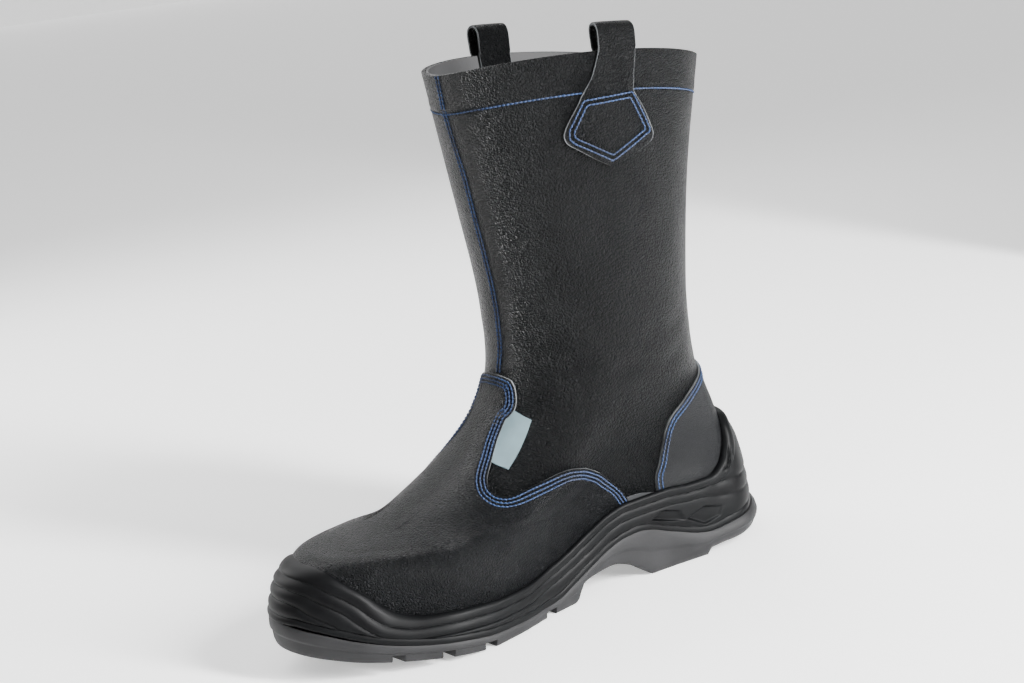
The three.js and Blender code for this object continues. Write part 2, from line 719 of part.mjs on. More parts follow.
// The outsole's heel stands out most a little above the middle of its wall.
function makeOutsole() {
  const all = angles(SOLE_AROUND);
  const wallRing = (inset, share) => all.map((phi) => {
    const flare = Math.min(1, 0.35 + 1.3 * share * (1.25 - share));
    const p = soleEdge(phi, inset - bulge(phi, HEEL_FLARE * flare));
    const x = soleEdge(phi, 0).x;
    const low = soleZ('tread', x);
    const high = soleZ('parting', x);
    return new THREE.Vector3(p.x, p.y, low + (high - low) * share);
  });
  const rings = OUTSOLE_WALL.map((row) => wallRing(row.inset * SOLE_CORNER, row.share));
  let body = solid(stack(rings));
  GROOVES.forEach((groove) => {
    const x = groove.along * SOLE_LENGTH;
    const slant = groove.slant * CHANNEL_WIDTH;
    const width = groove.width * CHANNEL_WIDTH;
    [-1, 1].forEach((side) => {
      const phi = side * Math.acos(2 * groove.along - 1);
      const end = soleHalf(phi) * groove.reach;
      const share = (end - GROOVE_START) / (soleHalf(phi) - GROOVE_START);
      const far = x - slant * (1 - share);
      const bar = grooveBar(x - slant, side * GROOVE_START, far, side * end, width);
      body = body.subtract(bar);
    });
  });
  CHANNELS.forEach(({ from, to }) => {
    const bar = grooveBar(from * SOLE_LENGTH, 0, to * SOLE_LENGTH, 0, CHANNEL_WIDTH);
    body = body.subtract(bar);
  });
  return body;
}

const LOOP_START = 2;           // first bend of a loop over the rim
const LOOP_BELLY = 0.65;        // swell of the loop's arch, share of its reach over the rim
const LOOP_ROUNDNESS = 0.55;    // less makes the arch boxier
const RIM_STEP = 0.01;          // keeps the strap's ends off the rim's own height

// Centre line of a strap at one place across it, outside, over the rim and back inside.
function strapPath(across, side) {
  const place = side > 0 ? OUTER_LOOP_PLACE : INNER_LOOP_PLACE;
  const rise = side > 0 ? OUTER_LOOP_RISE : INNER_LOOP_RISE;
  const half = STRAP_THICKNESS / 2;
  const centreX = place * SOLE_LENGTH;
  const outside = GAP + half;
  const inside = -WALL - 2 * GAP - FACING_THICKNESS - half;
  const rimAt = (x) => {
    const back = surface(TOP, Math.PI).x;
    const front = surface(TOP, 0).x;
    const phi = side * Math.acos(2 * (x - back) / (front - back) - 1);
    return { z: surface(TOP, phi).z, phi };
  };
  const middle = rimAt(centreX).z;
  const path = STRAP_ROWS.map((row) => {
    const x = centreX + (row.forward + across * row.half) * PATCH_WIDTH;
    const top = rimAt(x).z;
    const z = row.below === 0 ? top : middle - row.below * PATCH_HEIGHT;
    return sidePoint(x, Math.min(z, top) - RIM_STEP, side, outside);
  });
  const last = STRAP_ROWS[STRAP_ROWS.length - 1];
  const x = centreX + (last.forward + across * last.half) * PATCH_WIDTH;
  const { z: rimZ, phi } = rimAt(x);
  const n = surfaceNormal(TOP, phi).setZ(0).normalize();
  const base = surface(TOP, phi);
  const reach = (outside - inside) / 2;
  for (let k = 0; k <= LOOP_TURNS; k += 1) {
    const a = (Math.PI * k) / LOOP_TURNS;
    const swell = reach * (1 + LOOP_BELLY * Math.sin(a)) + LOOP_SWELL;
    const off = (outside + inside) / 2 + swell * Math.cos(a);
    const up = LOOP_START + (rise - LOOP_START) * Math.sin(a) ** LOOP_ROUNDNESS;
    const p = base.clone().addScaledVector(n, off);
    p.z = rimZ + up;
    path.push(p);
  }
  [RIM_STEP, INNER_LEG].forEach((drop) => {
    path.push(sidePoint(x, rimZ - drop, side, inside));
  });
  return path;
}

function makeLoop(side) {
  const half = STRAP_THICKNESS / 2;
  const places = Array.from({ length: STRAP_COLUMNS }, (_, i) => (2 * i) / (STRAP_COLUMNS - 1) - 1);
  const paths = places.map((across) => strapPath(across, side));
  const count = paths[0].length;
  const grid = (sign) => Array.from({ length: count }, (_, k) => paths.map((path, c) => {
    const along = path[Math.min(k + 1, count - 1)].clone().sub(path[Math.max(k - 1, 0)]);
    const left = paths[Math.max(c - 1, 0)][k];
    const right = paths[Math.min(c + 1, paths.length - 1)][k];
    const n = right.clone().sub(left).cross(along).normalize();
    return path[k].clone().addScaledVector(n, sign * half * -side);
  }));
  const parts = side > 0 ? [grid(-1), grid(1)] : [grid(1), grid(-1)];
  return solid(plate(parts[0], parts[1]));
}

function makeTab() {
  const [topFront, topBack, lowBack, lowFront] = inMillimetres(TAB_CORNERS);
  const lerp = THREE.MathUtils.lerp;
  const grid = (offset) => [0, 0.2, 0.4, 0.6, 0.8, 1].map((t) => [0, 0.5, 1].map((s) => {
    const x = lerp(lerp(topFront.x, lowFront.x, t), lerp(topBack.x, lowBack.x, t), s);
    const z = lerp(lerp(topFront.z, lowFront.z, t), lerp(topBack.z, lowBack.z, t), s);
    return sidePoint(x, z, 1, offset);
  }));
  return solid(plate(grid(GAP), grid(GAP + TAB_THICKNESS)));
}

const leather = new THREE.MeshStandardMaterial({ color: 0x2b2b2d, roughness: 0.5 });
const overlayLeather = new THREE.MeshStandardMaterial({ color: 0x323234, roughness: 0.55 });
const midsoleFoam = new THREE.MeshStandardMaterial({ color: 0x1d1d1f, roughness: 0.6 });
const outsoleRubber = new THREE.MeshStandardMaterial({ color: 0x7d7e80, roughness: 0.7 });
const insoleCloth = new THREE.MeshStandardMaterial({ color: 0x3a3a3c, roughness: 0.9 });
const facingLeather = new THREE.MeshStandardMaterial({ color: 0x39393b, roughness: 0.7 });
const tabCloth = new THREE.MeshStandardMaterial({ color: 0x7d929c, roughness: 0.8 });

const group = new THREE.Group();

function add(name, body, material) {
  const mesh = body.getMesh();
  const geometry = new THREE.BufferGeometry();
  geometry.setAttribute('position', new THREE.BufferAttribute(new Float32Array(mesh.vertProperties), 3));
  geometry.setIndex(new THREE.BufferAttribute(new Uint32Array(mesh.triVerts), 1));
  const object = new THREE.Mesh(geometry, material);
  object.name = name;
  group.add(object);
}

const vamp = sheet(GAP, VAMP_LEVELS).intersect(solid(prism(vampPolygon(0))));
const counter = sheet(GAP, COUNTER_LEVELS).intersect(solid(prism(counterPolygon(0))));

add('outsole', makeOutsole(), outsoleRubber);
add('midsole', makeMidsole(), midsoleFoam);
add('upper', makeUpper(), leather);
add('vamp', vamp, overlayLeather);
add('heel_counter', counter, overlayLeather);
add('insole', makeInsole(), insoleCloth);
add('collar_facing', makeFacing(), facingLeather);
add('pull_loop_outer', makeLoop(1), leather);
add('pull_loop_inner', makeLoop(-1), leather);
add('side_tab', makeTab().subtract(solid(prism(vampPolygon(GAP)))), tabCloth);

// The origin is the middle of the box around the boot, on the floor.
const box = new THREE.Box3().setFromObject(group);
const centre = box.getCenter(new THREE.Vector3());
group.children.forEach((mesh) => {
  mesh.geometry.translate(-centre.x, -centre.y, -box.min.z);
  mesh.geometry.computeVertexNormals();
});

export default group;
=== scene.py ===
import math
import bpy
import bmesh
import numpy as np
from mathutils import Matrix, Vector


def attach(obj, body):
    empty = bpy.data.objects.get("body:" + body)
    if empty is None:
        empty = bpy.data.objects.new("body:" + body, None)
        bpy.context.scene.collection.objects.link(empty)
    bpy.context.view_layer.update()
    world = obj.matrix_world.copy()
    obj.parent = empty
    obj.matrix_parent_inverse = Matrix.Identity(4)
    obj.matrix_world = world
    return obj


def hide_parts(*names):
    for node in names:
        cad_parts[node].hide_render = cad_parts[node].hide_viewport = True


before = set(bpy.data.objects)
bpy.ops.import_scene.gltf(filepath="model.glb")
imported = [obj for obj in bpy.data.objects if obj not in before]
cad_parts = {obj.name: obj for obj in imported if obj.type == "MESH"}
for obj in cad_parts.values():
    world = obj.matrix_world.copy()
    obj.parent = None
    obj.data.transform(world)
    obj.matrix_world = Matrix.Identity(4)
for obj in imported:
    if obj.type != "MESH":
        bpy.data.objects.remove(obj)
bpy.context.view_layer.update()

# Pull-on safety boot for the left foot. Lengths below are millimetres in the boot's own axes:
# x from the back of the heel line to the toe, y to the outer side, z up from the floor.
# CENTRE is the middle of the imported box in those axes, where the frame has its origin.
MM = 0.001
CENTRE = np.array([149.9214, 0.0338, 0.0])

# The sizes that drive the solids, repeated here because the skins follow the same surface.
SOLE_LENGTH = 303.4
HEEL_BULGE = 5.0
HEEL_FLARE = 9.5
TOE_BULGE = 4.6
BALL_WIDTH = 111.0
SOLE_HEIGHT = 48.4
INSTEP_HEIGHT = 138.0
SHAFT_HEIGHT = 305.0
ANKLE_HALF_WIDTH = 47.0
COLLAR_HALF_WIDTH = 59.6
COLLAR_FRONT_RISE = 9.0
COLLAR_BACK_RISE = 8.7
WALL = 2.4
OVERLAY = 1.6
GAP = 0.3
EDGE = 2.4
INSOLE_THICKNESS = 3.5
FACING_DEPTH = 24.0
FACING_THICKNESS = 1.2
STRAP_THICKNESS = 2.0
LOOP_RISE = {1: 14.5, -1: 17.0}
LOOP_SWELL = 0.9
LOOP_PLACE = {1: 0.2735, -1: 0.3030}
INNER_LEG = 20.0
PATCH_HEIGHT = 60.8
PATCH_WIDTH = 52.7
LUG_DEPTH = 4.5
CHANNEL_WIDTH = 7.0
TAB_THICKNESS = 0.8
BOX_START = 6
BOXINESS = 0.12

OUTLINE = np.array([
    [0.00, 1.369, 1.369], [0.05, 1.333, 1.333], [0.12, 1.063, 1.063], [0.22, 0.850, 0.850],
    [0.32, 0.755, 0.712], [0.42, 0.712, 0.638], [0.52, 0.786, 0.714], [0.62, 0.978, 0.897],
    [0.70, 1.124, 1.054], [0.78, 1.211, 1.121], [0.86, 1.192, 1.085], [0.93, 1.175, 1.150],
    [1.00, 1.290, 1.330],
])
SOLE_HEIGHTS = np.array([
    [0.000, 0.1343, 0.4339, 0.6405], [0.033, 0.1033, 0.4132, 0.6198],
    [0.079, 0.0930, 0.3636, 0.5888], [0.150, 0.0723, 0.3099, 0.5682], [0.160, 0, 0.3140, 0.5640],
    [0.237, 0, 0.4545, 0.5888], [0.287, 0, 0.5682, 0.6508], [0.312, 0.1033, 0.5909, 0.6777],
    [0.345, 0.2273, 0.5744, 0.6694], [0.376, 0.2789, 0.5207, 0.6322],
    [0.420, 0.2438, 0.3967, 0.5620], [0.447, 0.1942, 0.3182, 0.5000],
    [0.462, 0.0413, 0.2769, 0.4711], [0.472, 0, 0.2521, 0.4504], [0.520, 0, 0.1529, 0.3636],
    [0.580, 0, 0.1322, 0.3161], [0.675, 0, 0.1570, 0.3161], [0.742, 0.0413, 0.2190, 0.3678],
    [0.800, 0.0909, 0.2769, 0.4174], [0.837, 0.1281, 0.3264, 0.4628],
    [0.880, 0.1756, 0.4008, 0.5372], [0.920, 0.2273, 0.4917, 0.6302],
    [0.960, 0.2934, 0.5992, 0.7128], [1.000, 0.3616, 0.7025, 0.7748],
])
SOLE_COLUMN = {"tread": 1, "parting": 2, "bed": 3}
EDGE_LINE = np.array([
    [0.000, 1.6116, 0.9669], [0.058, 1.5909, 0.9669], [0.074, 1.4876, 0.9669],
    [0.085, 1.2603, 0.9669], [0.102, 1.0744, 0.9669], [0.136, 0.9669, 0.9669],
    [0.182, 0.9690, 0.9690], [0.237, 1.0000, 1.0000], [0.330, 0.9938, 0.9938],
    [0.376, 0.9339, 0.9339], [0.423, 0.8058, 0.8058], [0.473, 0.6736, 0.6736],
    [0.524, 0.5764, 0.5764], [0.595, 0.5000, 0.5000], [0.643, 0.5041, 0.5041],
    [0.702, 0.5331, 0.5331], [0.751, 0.5620, 0.5620], [0.794, 0.5868, 0.5868],
    [0.834, 0.6653, 0.6653], [0.857, 0.7769, 0.7769], [0.879, 0.9215, 0.9215],
    [0.911, 1.1157, 1.1157], [0.928, 1.2355, 1.2355], [0.938, 1.2769, 1.2769],
    [0.960, 1.2810, 1.2810],
])
# backX, backZ, frontX, frontZ, width, inset, foot
FOOT_ROWS = np.array([
    [0.0264, 0.145, 0.9620, 0.246, 1.06, 0.150, 1.00],
    [0.0198, 0.246, 0.9655, 0.362, 1.06, 0.107, 1.00],
    [0.0165, 0.319, 0.9425, 0.442, 1.06, 0.116, 1.00],
    [0.0200, 0.391, 0.8850, 0.454, 1.06, 0.152, 1.00],
    [0.0260, 0.464, 0.7830, 0.482, 1.06, 0.170, 0.90],
    [0.0385, 0.536, 0.6800, 0.577, 1.04, 0.196, 0.68],
    [0.0530, 0.630, 0.5925, 0.694, 1.013, 0.214, 0.40],
    [0.0680, 0.732, 0.5300, 0.832, 0.981, 0.214, 0.16],
    [0.0775, 0.848, 0.5005, 0.975, 0.991, 0.214, 0.03],
])
SHAFT_ROWS = np.array([
    [0.0815, -0.012, 0.4930, 0.111, 0.07], [0.0761, 0.168, 0.4945, 0.285, 0.16],
    [0.0465, 0.528, 0.5125, 0.577, 0.52], [-0.0023, 0.893, 0.5385, 0.988, 1.00],
])
# Edges on the outer side, each point as the level of the sections and the angle around in degrees.
VAMP_EDGE = np.array([
    [7.90, 4.57], [7.86, 10.80], [7.80, 16.00], [7.63, 19.40], [7.46, 21.30], [7.23, 23.10],
    [7.01, 23.60], [6.85, 22.21], [6.73, 20.60], [6.27, 22.57], [5.77, 27.72], [5.37, 32.49],
    [5.15, 36.17], [4.95, 40.21], [4.75, 46.46], [4.71, 51.97], [4.97, 57.85], [5.19, 65.93],
    [5.17, 72.18], [4.95, 80.63], [4.31, 92.75], [3.19, 104.14], [1.98, 109.65], [1.10, 111.50],
])
VAMP_TOP = 7.90
COUNTER_TOP = 112.4     # height of the counter's edge at the back
# Front seam: height and how far it lies to the outer side.
FRONT_SEAM = np.array([
    [130, 0.0], [136, 0.8], [152, 3.2], [175, 3.7], [219, 3.3], [245, 3.2], [268, 0.8], [284, -0.3],
    [305, 1.0],
])
COUNTER_EDGE = np.array([
    [7.52, 159.00], [7.14, 140.50], [6.85, 130.50], [6.55, 123.49], [6.11, 115.77],
    [5.61, 113.36], [4.85, 114.33], [3.62, 117.22], [2.27, 118.91], [1.20, 119.80],
])
STRAP_ROWS = np.array([
    [1.0000, 0.1765, 0.0285], [0.9786, 0.1499, 0.1025], [0.9128, 0.0939, 0.2799],
    [0.8553, 0.0655, 0.4013], [0.8092, 0.0854, 0.4554], [0.7368, 0.1452, 0.5000],
    [0.6826, 0.1698, 0.4981], [0.6250, 0.1774, 0.4772], [0.5592, 0.1746, 0.4402],
    [0.4770, 0.1698, 0.3824], [0.3783, 0.1660, 0.3121], [0.2961, 0.1309, 0.2827],
    [0.2138, 0.0892, 0.2543], [0.0987, 0.0484, 0.2324], [0.0000, 0.0190, 0.2182],
])
TAB_CORNERS = np.array([
    [6.99, 25.40], [6.78, 36.51], [5.52, 39.96], [5.74, 28.90],
])
GROOVES = np.array([
    [0.095, 0.71, 0.57, 0.55], [0.215, 0.71, 0.71, 0.55], [0.536, 1.14, -0.71, 1.30],
    [0.613, 0.79, -0.86, 0.75], [0.690, 1.07, -1.00, 1.30], [0.774, 0.93, -1.14, 1.30],
    [0.861, 0.86, -1.29, 1.30], [0.940, 0.71, -1.43, 0.45],
])
CHANNELS = [(0.17, 0.28), (0.49, 0.66), (0.658, 0.76), (0.758, 0.86), (0.858, 0.94)]


def place_camera():
    """The camera stands where the photographer's did, worked out from the boot's outline."""
    eye = (np.array([612.09, 830.2, 369.34]) - CENTRE) * MM
    look = (np.array([138.43, 0.0, 148.03]) - CENTRE) * MM
    roll = math.radians(-8.1)
    forward = Vector(look - eye).normalized()
    right = forward.cross(Vector((0, 0, 1))).normalized()
    up = right.cross(forward)
    turned_right = math.cos(roll) * right + math.sin(roll) * up
    turned_up = -math.sin(roll) * right + math.cos(roll) * up
    data = bpy.data.cameras.new("camera")
    data.lens = 60.67
    data.sensor_width = 36
    data.clip_start = 0.05
    data.clip_end = 120
    camera = bpy.data.objects.new("camera", data)
    axes = Matrix((turned_right, turned_up, -forward)).transposed().to_4x4()
    camera.matrix_world = Matrix.Translation(Vector(eye)) @ axes
    bpy.context.collection.objects.link(camera)
    bpy.context.scene.camera = camera


place_camera()


def table_rows():
    rise = SHAFT_HEIGHT - INSTEP_HEIGHT
    rows = []
    for back_x, back_z, front_x, front_z, width, inset, foot in FOOT_ROWS:
        rows.append((back_x * SOLE_LENGTH, back_z * INSTEP_HEIGHT, front_x * SOLE_LENGTH,
                     front_z * INSTEP_HEIGHT, width * ANKLE_HALF_WIDTH, inset, foot))
    for back_x, back_z, front_x, front_z, width in SHAFT_ROWS:
        half = ANKLE_HALF_WIDTH + width * (COLLAR_HALF_WIDTH - ANKLE_HALF_WIDTH)
        rows.append((back_x * SOLE_LENGTH, INSTEP_HEIGHT + back_z * rise, front_x * SOLE_LENGTH,
                     INSTEP_HEIGHT + front_z * rise, half, 0.214, 0.0))
    return rows


ROWS = np.array(table_rows())
TOP = len(ROWS) - 1


def curve(xs, ys, at):
    """Monotone cubic through a table."""
    xs, ys = np.asarray(xs, float), np.asarray(ys, float)
    at = np.clip(np.asarray(at, float), xs[0], xs[-1])
    width = np.diff(xs)
    slope = np.diff(ys) / width
    tangent = np.empty_like(ys)
    tangent[0], tangent[-1] = slope[0], slope[-1]
    before, after = slope[:-1], slope[1:]
    a = 2 * width[1:] + width[:-1]
    b = width[1:] + 2 * width[:-1]
    with np.errstate(divide="ignore", invalid="ignore"):
        middle = (a + b) / (a / before + b / after)
    tangent[1:-1] = np.where(before * after > 0, middle, 0)
    i = np.clip(np.searchsorted(xs, at, side="right") - 1, 0, len(xs) - 2)
    h = width[i]
    s = (at - xs[i]) / h
    start = (1 + 2 * s) * (1 - s) ** 2 * ys[i] + s * (1 - s) ** 2 * h * tangent[i]
    return start + s * s * (3 - 2 * s) * ys[i + 1] + s * s * (s - 1) * h * tangent[i + 1]


def sole_z(name, x):
    column = SOLE_HEIGHTS[:, SOLE_COLUMN[name]]
    return curve(SOLE_HEIGHTS[:, 0], column, x / SOLE_LENGTH) * SOLE_HEIGHT


def edge_z(x, column=1):
    return curve(EDGE_LINE[:, 0], EDGE_LINE[:, column], x / SOLE_LENGTH) * SOLE_HEIGHT


def smoothstep(x, low, high):
    t = np.clip((x - low) / (high - low), 0, 1)
    return t * t * (3 - 2 * t)


def sole_half(phi):
    u = (1 + np.cos(phi)) / 2
    outer = curve(OUTLINE[:, 0], OUTLINE[:, 1], u)
    inner = curve(OUTLINE[:, 0], OUTLINE[:, 2], u)
    return np.abs(np.sin(phi)) * np.where(np.sin(phi) >= 0, outer, inner) * BALL_WIDTH / 2


def sole_edge(phi, inset=0.0):
    """Outline of the sole in plan, moved inwards by inset."""
    def plain(angle):
        x = SOLE_LENGTH * (1 + np.cos(angle)) / 2
        return np.stack([x, np.sign(np.sin(angle)) * sole_half(angle)], -1)
    a, b = plain(phi - 0.01), plain(phi + 0.01)
    normal = np.stack([b[..., 1] - a[..., 1], a[..., 0] - b[..., 0]], -1)
    normal /= np.linalg.norm(normal, axis=-1, keepdims=True)
    return plain(phi) - normal * np.asarray(inset)[..., None]


def bulge(phi, heel):
    at_heel = smoothstep(-np.cos(phi), 0.45, 0.95)
    at_toe = smoothstep(np.cos(phi), 0.5, 0.9)
    return heel * at_heel + TOE_BULGE * at_toe


def section(index, phi, sole):
    """Points of the sections with the given numbers, each at its own angle."""
    row = ROWS[index]
    u = (1 + np.cos(phi)) / 2
    s = np.sin(phi)
    box = np.where(index >= BOX_START, BOXINESS, BOXINESS * index / BOX_START / 2)
    y = row[:, 6] * sole * (1 - row[:, 5]) + (1 - row[:, 6]) * row[:, 4] * np.abs(s) ** (1 - box)
    x = row[:, 0] + (row[:, 2] - row[:, 0]) * u
    z = row[:, 1] + (row[:, 3] - row[:, 1]) * u
    lowest = index == 0
    if lowest.any():
        z[lowest] = sole_z("bed", x[lowest]) + GAP
    return np.stack([x, np.sign(s) * y, z], -1)


def surface(level, phi):
    """Outside of the upper: level 0 is the foot bed, level TOP the collar's rim."""
    level, phi = np.broadcast_arrays(np.asarray(level, float), np.asarray(phi, float))
    shape = level.shape
    level, phi = np.clip(level.ravel(), 0, TOP), phi.ravel()
    sole = sole_half(phi)
    i = np.clip(np.floor(level).astype(int), 0, TOP - 1)
    t = (level - i)[:, None]
    p1, p2 = section(i, phi, sole), section(i + 1, phi, sole)
    p0 = np.where((i > 0)[:, None], section(np.maximum(i - 1, 0), phi, sole), 2 * p1 - p2)
    p3 = np.where((i < TOP - 1)[:, None], section(np.minimum(i + 2, TOP), phi, sole), 2 * p2 - p1)
    cubic = 3 * p1 - p0 - 3 * p2 + p3
    square = 2 * p0 - 5 * p1 + 4 * p2 - p3
    p = 0.5 * (2 * p1 + (p2 - p0) * t + square * t ** 2 + cubic * t ** 3)
    u = (1 + np.cos(phi)) / 2
    high = np.maximum(0, (level - (TOP - 2)) / 2)
    rise = COLLAR_FRONT_RISE * u + COLLAR_BACK_RISE * (1 - u)
    p[:, 2] += high * rise * np.abs(np.sin(phi)) ** 1.5
    return p.reshape(shape + (3,))


def unit(v):
    return v / np.maximum(np.linalg.norm(v, axis=-1, keepdims=True), 1e-12)


def surface_normal(level, phi):
    around = surface(level, phi + 0.03) - surface(level, phi - 0.03)
    up = surface(np.minimum(level + 0.05, TOP), phi) - surface(np.maximum(level - 0.05, 0), phi)
    return unit(np.cross(around, up))


def levelled_normal(level, phi):
    """The normal, turned level at the bed and at the rim so that all layers end together."""
    n = surface_normal(level, phi)
    near = np.maximum(np.maximum(0, 1 - level), np.maximum(0, level - (TOP - 1)))
    n[..., 2] *= 1 - np.clip(near, 0, 1)
    return unit(n)


LEVELS = np.linspace(0, TOP, 1201)
BACK_X = surface(LEVELS, np.pi)[:, 0]
FRONT_X = surface(LEVELS, 0.0)[:, 0]


def find(x, z, side):
    """Level and angle of the points of one side with a given x and height."""
    x, z = np.asarray(x, float), np.asarray(z, float)
    low, high = np.zeros_like(x), np.full_like(x, TOP)
    for _ in range(32):
        level = (low + high) / 2
        back = np.interp(level, LEVELS, BACK_X)
        front = np.interp(level, LEVELS, FRONT_X)
        phi = side * np.arccos(2 * np.clip((x - back) / (front - back), 0, 1) - 1)
        above = surface(level, phi)[..., 2] > z
        high = np.where(above, level, high)
        low = np.where(above, low, level)
    return (low + high) / 2, phi


def spline(points, count):
    """Evenly spaced points on a Catmull-Rom curve through a few control points."""
    p = np.asarray(points, float)
    p = np.vstack([2 * p[0] - p[1], p, 2 * p[-1] - p[-2]])
    t = np.linspace(0, 1, 24, endpoint=False)[:, None]
    parts = []
    for a, b, c, d in zip(p[:-3], p[1:-2], p[2:-1], p[3:]):
        parts.append(0.5 * (2 * b + (c - a) * t + (2 * a - 5 * b + 4 * c - d) * t ** 2
                            + (3 * b - a - 3 * c + d) * t ** 3))
    line = np.vstack(parts + [p[-2:-1]])
    return respace(line, line, count)


def respace(line, measure, count):
    """Evenly spaced samples of line, with the spacing measured along another one."""
    run = np.concatenate([[0], np.cumsum(np.linalg.norm(np.diff(measure, axis=0), axis=1))])
    at = np.linspace(0, run[-1], count)
    return np.stack([np.interp(at, run, line[:, k]) for k in range(line.shape[1])], -1)


# Soft troughs and ridges of worn leather: side, points (x, z), half width, depth inwards.
CREASES = [
    (1, [(150, 158), (132, 150), (112, 148)], 5.0, 0.9),
    (1, [(146, 140), (128, 134), (104, 138)], 5.5, 1.0),
    (1, [(42, 150), (60, 143), (84, 146)], 6.0, 0.9),
    (1, [(38, 132), (62, 124), (90, 128), (112, 120)], 6.0, 0.9),
    (1, [(60, 200), (72, 240), (70, 268)], 10.0, -0.8),
    (1, [(118, 190), (124, 230), (128, 265)], 9.0, -0.7),
    (1, [(95, 180), (100, 225), (98, 262)], 9.0, 0.8),
    (1, [(140, 108), (120, 96), (92, 92)], 6.0, 0.8),
    (1, [(240, 60), (222, 61), (204, 62), (186, 64), (168, 66)], 8.0, 2.0),
    (1, [(200, 49), (186, 50), (172, 50), (150, 51)], 6.5, -1.3),
    (-1, [(240, 60), (222, 61), (204, 62), (186, 64), (168, 66)], 8.0, 2.0),
    (-1, [(150, 158), (130, 148), (106, 150)], 5.5, 0.9),
    (-1, [(44, 140), (66, 132), (98, 136)], 6.0, 0.9),
    (-1, [(66, 190), (74, 235), (72, 270)], 10.0, 0.7),
    (-1, [(112, 186), (120, 232), (124, 268)], 9.0, -0.7),
]


def crease_relief(points):
    """Depth of the listed creases at points on the upper."""
    total = np.zeros(points.shape[:-1])
    for side, line, width, depth in CREASES:
        path = spline([(x, z) for x, z in line], 40)
        flat = points[..., [0, 2]].reshape(-1, 2)
        gap = np.linalg.norm(flat[:, None, :] - path[None, :, :], axis=2)
        nearest = gap.argmin(1)
        distance = gap.min(1)
        share = nearest / (len(path) - 1)
        ends = smoothstep(share, 0, 0.3) * (1 - smoothstep(share, 0.7, 1))
        on_side = smoothstep(points[..., 1].ravel() * side, 4, 18)
        drop = depth * np.exp(-(distance / width) ** 2) * ends * on_side
        total -= drop.reshape(total.shape)
    return total


# Seams of the shaft.
COLLAR_SEAM = 21.5      # below the rim
FRONT_ROWS = (2.0, 4.7)  # stitch rows behind the front seam's edge
LAP = 0.9               # the outer panel laps over the inner one


def groove(distance, width, depth):
    return -depth * np.exp(-(distance / width) ** 2)


def below_rim(distances, shares, phi):
    """Levels at set distances under the rim, then at shares of what is left down to the bed."""
    fine = np.linspace(0, TOP, 241)
    grid = surface(fine[:, None], phi[None, :])
    step = np.linalg.norm(np.diff(grid, axis=0), axis=2)
    run = np.vstack([np.zeros(len(phi)), np.cumsum(step[::-1], axis=0)])
    levels = np.empty((len(distances) + len(shares), len(phi)))
    depth = np.empty_like(levels)
    for c in range(len(phi)):
        rest = distances[-1] + np.asarray(shares) * (run[-1, c] - distances[-1])
        depth[:, c] = np.concatenate([distances, rest])
        levels[:, c] = np.interp(depth[:, c], run[:, c], fine[::-1])
    return levels, depth


def shaft_relief(points, phi, depth):
    """Height of the shaft's leather over the plain surface."""
    lift = crease_relief(points)
    y = points[..., 1] - curve(FRONT_SEAM[:, 0], FRONT_SEAM[:, 1], points[..., 2])
    near_front = np.cos(phi) > 0.2
    over = smoothstep(points[..., 2], 133, 138)
    lap = LAP * smoothstep(y, -0.7, 0.1) * (1 - smoothstep(y, 7, 26)) * near_front
    lift += lap * over
    for row in FRONT_ROWS:
        lift += groove(y - row, 0.8, 0.3) * near_front * over
    lift += groove(depth - COLLAR_SEAM, 0.9, 0.45)
    lift += 0.22 * np.exp(-((depth - COLLAR_SEAM + 3.2) / 2.2) ** 2)
    return lift


def to_frame(points):
    return (np.asarray(points, float).reshape(-1, 3) - CENTRE) * MM


def grid_faces(rows, columns, around=False, start=0):
    """Quads of a grid of points; around joins the last column to the first."""
    r = np.arange(rows - 1)[:, None]
    c = np.arange(columns if around else columns - 1)[None, :]
    d = (c + 1) % columns
    quads = np.stack([r * columns + c, r * columns + d, (r + 1) * columns + d, (r + 1) * columns + c], -1)
    return (quads + start).reshape(-1, 4)


def make_piece(name, points, faces, materials, face_material=None, attributes=None, sharp=50, turn=False):
    mesh = bpy.data.meshes.new(name)
    mesh.from_pydata(to_frame(points).tolist(), [], [list(map(int, f)) for f in faces])
    for material in materials:
        mesh.materials.append(material)
    if face_material is not None:
        mesh.polygons.foreach_set("material_index", np.asarray(face_material, dtype=np.int32))
    for key, values in (attributes or {}).items():
        data = mesh.attributes.new(key, "FLOAT", "POINT").data
        data.foreach_set("value", np.asarray(values, dtype=np.float32).ravel())
    if turn:
        mesh.flip_normals()
    mesh.shade_smooth()
    mesh.set_sharp_from_angle(angle=math.radians(sharp))
    mesh.validate()
    piece = bpy.data.objects.new(name, mesh)
    bpy.context.collection.objects.link(piece)
    return piece


def close_outwards(piece):
    """Merges doubles and turns every face of a closed piece outwards."""
    work = bmesh.new()
    work.from_mesh(piece.data)
    bmesh.ops.remove_doubles(work, verts=work.verts, dist=1e-6)
    bmesh.ops.recalc_face_normals(work, faces=work.faces)
    if work.calc_volume(signed=True) < 0:
        bmesh.ops.reverse_faces(work, faces=work.faces)
    work.to_mesh(piece.data)
    work.free()


def linear(hex_colour):
    """An sRGB hex value as linear RGBA."""
    values = [int(hex_colour[i:i + 2], 16) / 255 for i in (1, 3, 5)]
    return tuple(v / 12.92 if v <= 0.04045 else ((v + 0.055) / 1.055) ** 2.4 for v in values) + (1.0,)


def add(tree, kind, inputs=None, **settings):
    """Adds a node with its settings; an input is a value, or a socket to link from."""
    made = tree.nodes.new(kind)
    for key, value in settings.items():
        setattr(made, key, value)
    for key, value in (inputs or {}).items():
        if isinstance(value, bpy.types.NodeSocket):
            tree.links.new(value, made.inputs[key])
        else:
            made.inputs[key].default_value = value
    return made


